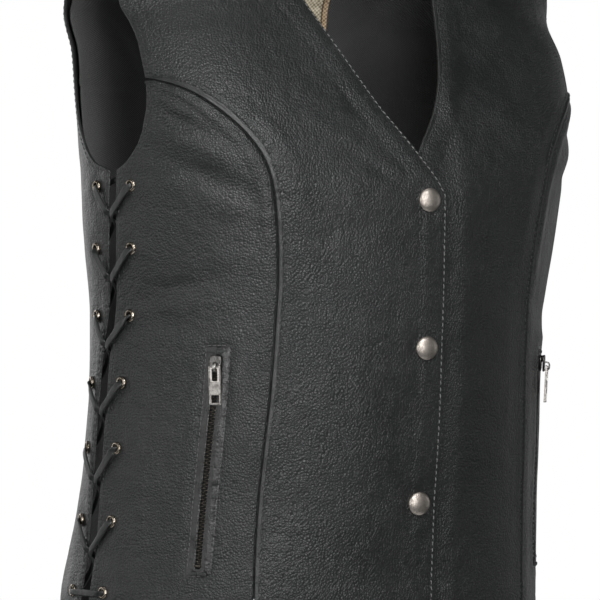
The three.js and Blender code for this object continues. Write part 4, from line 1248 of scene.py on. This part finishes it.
def welt_height(u, s):
    """the pocket's stitched edges: two padded lips that meet the opening, closed at both ends"""
    half_l, half_r = 1.35, 1.05          # opening on either side of the teeth
    mid = (half_l - half_r) / 2; hw = (half_l + half_r) / 2
    ds = np.maximum(np.maximum(6.0 - s, s - (ZL - 3.2)), -50)
    q = np.abs(u - mid) - hw
    d = np.where(ds > 0, np.hypot(np.maximum(q, 0), ds) + np.minimum(q, 0) * 0, q)
    d = np.where((ds > 0) & (q < 0), ds, d)
    lip = 0.55 + np.where(u > mid, 0.70 * np.exp(-((d - 1.7) / 1.7) ** 2), 0.95 * np.exp(-((d - 3.4) / 2.9) ** 2))
    inside = smooth((0.55 - d) / 0.9)
    h = lip * (1 - inside) - 1.0 * inside
    # seam line where it is stitched down, and the edge beyond it turned under
    out_l, out_r = 8.6, 9.6
    e = np.minimum(np.minimum(out_l - u, out_r + u), np.minimum(s + 3.4, ZL + 3.4 - s))
    h = h - 0.42 * np.exp(-((e - 1.2) / 0.75) ** 2) + 0.08 * np.sin(s / 9.0 + u / 4) * np.exp(-((d - 3) / 3) ** 2)
    return np.where(e < 0.6, h - (0.6 - e) * 1.6, h), d, e


def build_welt(side):
    us = clustered(-9.6, 8.6, 0.42)
    ss = np.concatenate([np.arange(-3.4, 10.5, 0.45), np.arange(10.5, ZL - 8, 1.6), np.arange(ZL - 8, ZL + 3.5, 0.45)])
    U, S = np.meshgrid(us, ss)
    h, d, e = welt_height(U, S)
    top = zip_point(side, U, S, h)
    low = zip_point(side, U, S, np.minimum(h - 0.5, -1.2))
    nr, nc = U.shape; K = nr * nc
    verts = np.concatenate([top.reshape(-1, 3), low.reshape(-1, 3)])
    fl = side > 0
    faces = grid_faces(nr, nc, 0, not fl) + grid_faces(nr, nc, K, fl)
    loop = [i for i in range(nc)] + [j * nc + nc - 1 for j in range(1, nr)] + [(nr - 1) * nc + i for i in range(nc - 2, -1, -1)] + [j * nc for j in range(nr - 2, 0, -1)]
    for a, b in zip(loop, loop[1:] + loop[:1]):
        faces.append((a, a + K, b + K, b) if not fl else (a, b, b + K, a + K))
    tag = "R" if side < 0 else "L"
    ob = mesh_object("pocket_welt_%s_leather" % tag, verts, faces)
    return weld(ob, 0.0005)


def brick(w, h, d, at, side, bevel=0.25, taper=1.0):
    """a small block with bevelled edges in zip space: across, down, outwards"""
    x, y, z = w / 2, h / 2, d / 2
    pts, faces = [], []
    lay = [(-1.0, 1 - 2 * bevel / min(w, h)), (-1 + 2 * bevel / d, 1.0), (1 - 2 * bevel / d, 1.0 * taper), (1.0, (1 - 2 * bevel / min(w, h)) * taper)]
    corner = []
    for q, (sx, sy) in enumerate(((1, 1), (-1, 1), (-1, -1), (1, -1))):
        b = bevel
        if q % 2 == 0:
            corner += [(sx * x, sy * (y - b)), (sx * (x - b), sy * y)]
        else:
            corner += [(sx * (x - b), sy * y), (sx * x, sy * (y - b))]
    c = np.array(corner); n = len(c)
    for hz, k in lay:
        pts.append(np.column_stack([c * k, np.full(n, hz * z)]))
    P = np.concatenate(pts) + np.array(at)
    for l in range(3):
        for j in range(n):
            faces.append((l * n + j, l * n + (j + 1) % n, (l + 1) * n + (j + 1) % n, (l + 1) * n + j))
    faces.append(tuple(range(n))[::-1]); faces.append(tuple(3 * n + j for j in range(n)))
    return zip_point(side, P[:, 0], P[:, 1], P[:, 2]), faces


def plate_part(outline, holes, z0, z1, rim_w, fr):
    """flat plate with round-cornered outline and holes; bevelled by a modifier later"""
    import bmesh
    bm = bmesh.new()
    def loop(pts, z):
        vs = [bm.verts.new((p[0], p[1], z)) for p in pts]
        return vs, [bm.edges.new((vs[i], vs[(i + 1) % len(vs)])) for i in range(len(vs))]
    allv = []
    for z in (z0, z1):
        edges = []
        loops = []
        for pts in [outline] + holes:
            vs, es = loop(pts, z); edges += es; loops.append(vs)
        bmesh.ops.triangle_fill(bm, use_beauty=True, use_dissolve=False, edges=edges)
        allv.append(loops)
    for a, b in zip(*allv):
        n = len(a)
        for i in range(n):
            bm.faces.new((a[i], a[(i + 1) % n], b[(i + 1) % n], b[i]))
    bmesh.ops.recalc_face_normals(bm, faces=bm.faces)
    bm.verts.ensure_lookup_table()
    V = np.array([v.co[:] for v in bm.verts]); F = [tuple(v.index for v in f.verts) for f in bm.faces]
    bm.free()
    return to_frame(fr, V), F


def round_rect(cx, cy, w, h, r, n=5, top=1.0):
    pts = []
    for (sx, sy, a0) in ((1, 1, 0), (-1, 1, 90), (-1, -1, 180), (1, -1, 270)):
        k = top if sy > 0 else 1.0
        for i in range(n + 1):
            a = math.radians(a0 + 90 * i / n)
            pts.append((cx + sx * (w / 2 * k - r) + r * math.cos(a), cy + sy * (h / 2 - r) + r * math.sin(a)))
    return pts


def bevel(ob, width, seg=3, angle=35):
    md = ob.modifiers.new("edges", "BEVEL"); md.width = width * MM; md.segments = seg
    md.limit_method = "ANGLE"; md.angle_limit = math.radians(angle); md.harden_normals = False
    return ob


for side in (-1, 1):
    tag = "R" if side < 0 else "L"
    ob = build_welt(side)
    finish_piece(ob, M_WELT_SHADED, replaces=("pocket_welt_" + tag,))
    # tape: two halves with a small step where the teeth are crimped on
    us = np.array([-4.1, -4.05, -2.6, -1.5, -1.2, -0.4, 0, 0.4, 1.2, 1.5, 2.6, 4.05, 4.1]); ss = np.arange(-3, ZL + 3.1, 1.5)
    U, S = np.meshgrid(us, ss)
    h = -0.35 + 0.35 * np.exp(-((np.abs(U) - 1.6) / 0.5) ** 2)
    top, low = zip_point(side, U, S, h), zip_point(side, U, S, h - 0.5)
    nr, nc = U.shape; K = nr * nc
    fl = side > 0
    faces = grid_faces(nr, nc, 0, not fl) + grid_faces(nr, nc, K, fl)
    loop = [i for i in range(nc)] + [j * nc + nc - 1 for j in range(1, nr)] + [(nr - 1) * nc + i for i in range(nc - 2, -1, -1)] + [j * nc for j in range(nr - 2, 0, -1)]
    for a, b in zip(loop, loop[1:] + loop[:1]):
        faces.append((a, a + K, b + K, b) if not fl else (a, b, b + K, a + K))
    ob = mesh_object("zip_tape_%s_weave" % tag, np.concatenate([top.reshape(-1, 3), low.reshape(-1, 3)]), faces)
    finish_piece(ob, M_TAPE, replaces=("zip_tape_" + tag,))
    # teeth: two rows that mesh, each tooth crimped round its tape's cord
    parts = []
    pitch = 2.35
    for k in range(int((ZL - 8) / pitch)):
        s = 7.5 + k * pitch
        for half, ds in ((1, 0.0), (-1, pitch / 2)):
            parts.append(brick(2.3, 1.05, 1.35, (half * 1.0, s + ds, 0.55), side, 0.22))
            parts.append(brick(1.0, 0.62, 1.0, (-half * 0.25, s + ds, 0.62), side, 0.15))
    ob = join_meshes("zip_teeth_%s" % tag, parts); finish_piece(ob, M_TEETH_SHADED)
    # stops and the tacked ends
    ob = join_meshes("zip_stop_%s" % tag, [brick(4.4, 2.2, 1.7, (0, ZL - 4.4, 0.75), side, 0.3)]); finish_piece(ob, M_TEETH_SHADED)
    parts = []
    for s_mid, bow in ((ZL + 1.4, 1.6), (0.9, -1.6)):
        for q in range(17):
            t = -1 + 2 * q / 16
            u = 0.2 + t * 6.1; s = s_mid - bow * (1 - t * t) * 0.6
            hh = float(welt_height(np.array(u), np.array(s))[0]) + 0.25
            parts.append(brick(0.62, 2.0, 0.75, (u, s, hh), side, 0.2))
    ob = join_meshes("zip_bartack_%s" % tag, parts); finish_piece(ob, M_THREAD_DARK)
    # stitching round the pocket
    welt_t = tree_of([bpy.data.objects["pocket_welt_%s_leather" % tag]])
    parts = []
    for u0 in (7.4, -8.4):
        v = np.linspace(ZIP["top"] + 1.0, ZIP["bottom"] - 1.5, 300)
        parts += stitch_parts(welt_t, side * (zip_psi(v) + u0 / 2.55), v, rng=rng, wide=0.7, sink=0.02, pitch=3.4, long=2.5)
    for v0 in (ZIP["top"] + 2.2, ZIP["bottom"] - 2.2):
        u = np.linspace(7.2, -8.2, 60)
        parts += stitch_parts(welt_t, side * (zip_psi(v0) + u / 2.55), np.full(60, v0), rng=rng, wide=0.7, sink=0.02, pitch=3.4, long=2.5)
    ob = join_meshes("stitches_pocket_%s" % tag, parts); finish_piece(ob, M_THREAD_MID)
    # slider: two plates joined at the nose, with a tongue that the pull hangs on
    f = frame_at(side * float(zip_psi(ZIP["top"] - 9.5)), ZIP["top"] - 9.5, ZIP["lift"] + 0.9, side * LEAN)
    def shield(z0, z1, w_top, w_low, h):
        pts = []
        for i in range(48):
            a = 2 * math.pi * i / 48
            c, s_ = math.cos(a), math.sin(a)
            x = np.sign(c) * abs(c) ** 0.6; yv = np.sign(s_) * abs(s_) ** 0.7
            w = w_low + (w_top - w_low) * (yv + 1) / 2
            pts.append((x * w / 2, yv * h / 2))
        pts = np.array(pts)
        lay = [(z0, 0.93), (z0 + 0.15, 1.0), (z1 - 0.3, 1.0), (z1 - 0.08, 0.95), (z1, 0.86)]
        P = np.concatenate([np.column_stack([pts * k, np.full(48, z)]) for z, k in lay])
        F = [(l * 48 + j, l * 48 + (j + 1) % 48, (l + 1) * 48 + (j + 1) % 48, (l + 1) * 48 + j) for l in range(4) for j in range(48)]
        F += [tuple(range(48))[::-1], tuple(4 * 48 + j for j in range(48))]
        return to_frame(f, P), F
    def bent_bar(path, w, t):
        P = np.asarray(path, float); n = len(P)
        tn = unit(np.gradient(P, axis=0)); nn = np.column_stack([-tn[:, 1], tn[:, 0]])
        k = 12; a = 2 * math.pi * np.arange(k) / k
        cx = np.sign(np.cos(a)) * np.abs(np.cos(a)) ** 0.5 * w / 2; cn = np.sign(np.sin(a)) * np.abs(np.sin(a)) ** 0.5 * t / 2
        pts = np.stack([np.tile(cx, (n, 1)), P[:, :1] + cn[None] * nn[:, :1], P[:, 1:2] + cn[None] * nn[:, 1:2]], -1).reshape(-1, 3)
        F = [(i * k + j, i * k + (j + 1) % k, (i + 1) * k + (j + 1) % k, (i + 1) * k + j) for i in range(n - 1) for j in range(k)]
        F += [tuple(range(k))[::-1], tuple((n - 1) * k + j for j in range(k))]
        return to_frame(f, pts), F
    arch = [(0.9, 1.9), (0.85, 3.2), (0.75, 4.3), (0.3, 5.2), (-0.6, 5.72), (-1.8, 5.85), (-3.2, 5.7), (-4.1, 5.1), (-4.5, 4.2), (-4.6, 3.2), (-4.6, 1.9)]
    A, _ = curve_through([(a, b, 0.0) for a, b in arch], 0.25)
    parts = [shield(-0.5, 0.45, 8.4, 6.2, 10.6), shield(1.35, 2.6, 8.6, 6.4, 11.2), bent_bar(A[:, :2], 2.2, 0.95)]
    parts.append((lambda q: (to_frame(f, q[0]), q[1]))((np.array([(x, y, z) for z in (0.3, 1.6) for x, y in ((-2.0, 5.2), (2.0, 5.2), (1.2, 1.0), (-1.2, 1.0))]),
                  [(3, 2, 1, 0), (4, 5, 6, 7), (0, 1, 5, 4), (1, 2, 6, 5), (2, 3, 7, 6), (3, 0, 4, 7)])))
    ob = weld(join_meshes("zip_slider_%s_metal" % tag, parts[:2] + parts[3:]))
    finish_piece(ob, M_ZIPDARK, replaces=("zip_slider_" + tag,))
    ob = weld(join_meshes("zip_tongue_%s_metal" % tag, parts[2:3]))
    finish_piece(ob, M_ZIPMETAL)
    # the pull hangs a few degrees out of line with the teeth
    pull_turn = math.radians(-5 * side)
    o_, a_, u_, n_ = f
    piv = o_ + u_ * (-2.0)
    a2 = a_ * math.cos(pull_turn) + u_ * math.sin(pull_turn); u2 = u_ * math.cos(pull_turn) - a_ * math.sin(pull_turn)
    f = (piv + u2 * 2.0, a2, u2, n_)
    # pull: thin plate with a raised border, an oblong slot, a ribbed panel and a square hole
    y1, y0 = -1.2, -26.2
    outline = round_rect(0, (y0 + y1) / 2, 7.8, y1 - y0, 1.1, top=1.02)
    slot_h = round_rect(0, -2.8 - 4.1, 3.7, 8.2, 0.9)
    hole = round_rect(0, y0 + 1.25 + 2.6, 5.2, 5.2, 0.45)
    body = plate_part(outline, [slot_h, hole], 3.55, 4.45, 0.5, f)
    parts = [body]
    ob = join_meshes("zip_pull_%s_metal" % tag, parts, False)
    bevel(ob, 0.22, 3, 40)
    finish_piece(ob, M_PULL, "pull_" + tag, replaces=("zip_pull_" + tag,))
    # raised border strips and ribs
    parts = []
    def ridge(x0, ya, x1, yb, w, h, z=4.45):
        a, b = np.array([x0, ya]), np.array([x1, yb]); t = unit(b - a); nn = np.array([-t[1], t[0]])
        lay = []
        for zz, k in ((z - 0.1, 1.0), (z + h * 0.6, 0.8), (z + h, 0.35)):
            for (p, s1) in ((a - t * w * 0.1 * k, -1), (b + t * w * 0.1 * k, -1), (b + t * w * 0.1 * k, 1), (a - t * w * 0.1 * k, 1)):
                lay.append((*(p + nn * s1 * w / 2 * k), zz))
        F = [(l * 4 + j, l * 4 + (j + 1) % 4, (l + 1) * 4 + (j + 1) % 4, (l + 1) * 4 + j) for l in range(2) for j in range(4)] + [(3, 2, 1, 0), (8, 9, 10, 11)]
        return to_frame(f, lay), F
    for sx in (-1, 1):
        parts.append(ridge(sx * 3.4, -1.9, sx * 3.4, -25.6, 0.95, 0.42))
    parts += [ridge(-3.2, -25.65, 3.2, -25.65, 0.95, 0.42), ridge(-3.2, -1.8, 3.2, -1.8, 0.95, 0.42),
              ridge(-2.9, -11.6, 2.9, -11.6, 0.55, 0.2), ridge(-2.9, -19.3, 2.9, -19.3, 0.55, 0.2)]
    for q in range(11):
        parts.append(ridge(-2.75, -12.25 - q * 0.645, 2.75, -12.25 - q * 0.645, 0.36, 0.17))
    for q in range(8):
        x = -2.45 + q * 0.7
        parts.append(ridge(x, -12.1, x, -18.8, 0.22, 0.12))
    ob = join_meshes("zip_pull_%s_relief" % tag, parts)
    bpy.data.objects[ob.name].data.polygons.foreach_set("use_smooth", [False] * len(ob.data.polygons))
    finish_piece(ob, M_ZIPMETAL, "pull_" + tag)

# ------------------------------------------------------------------ carried parts of the model, size, end
for n, o in NODES.items():
    if not o.hide_render and (not o.data.materials or o.data.materials[0] is None):
        o.data.materials.clear(); o.data.materials.append(M_NICKEL)
low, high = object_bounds()
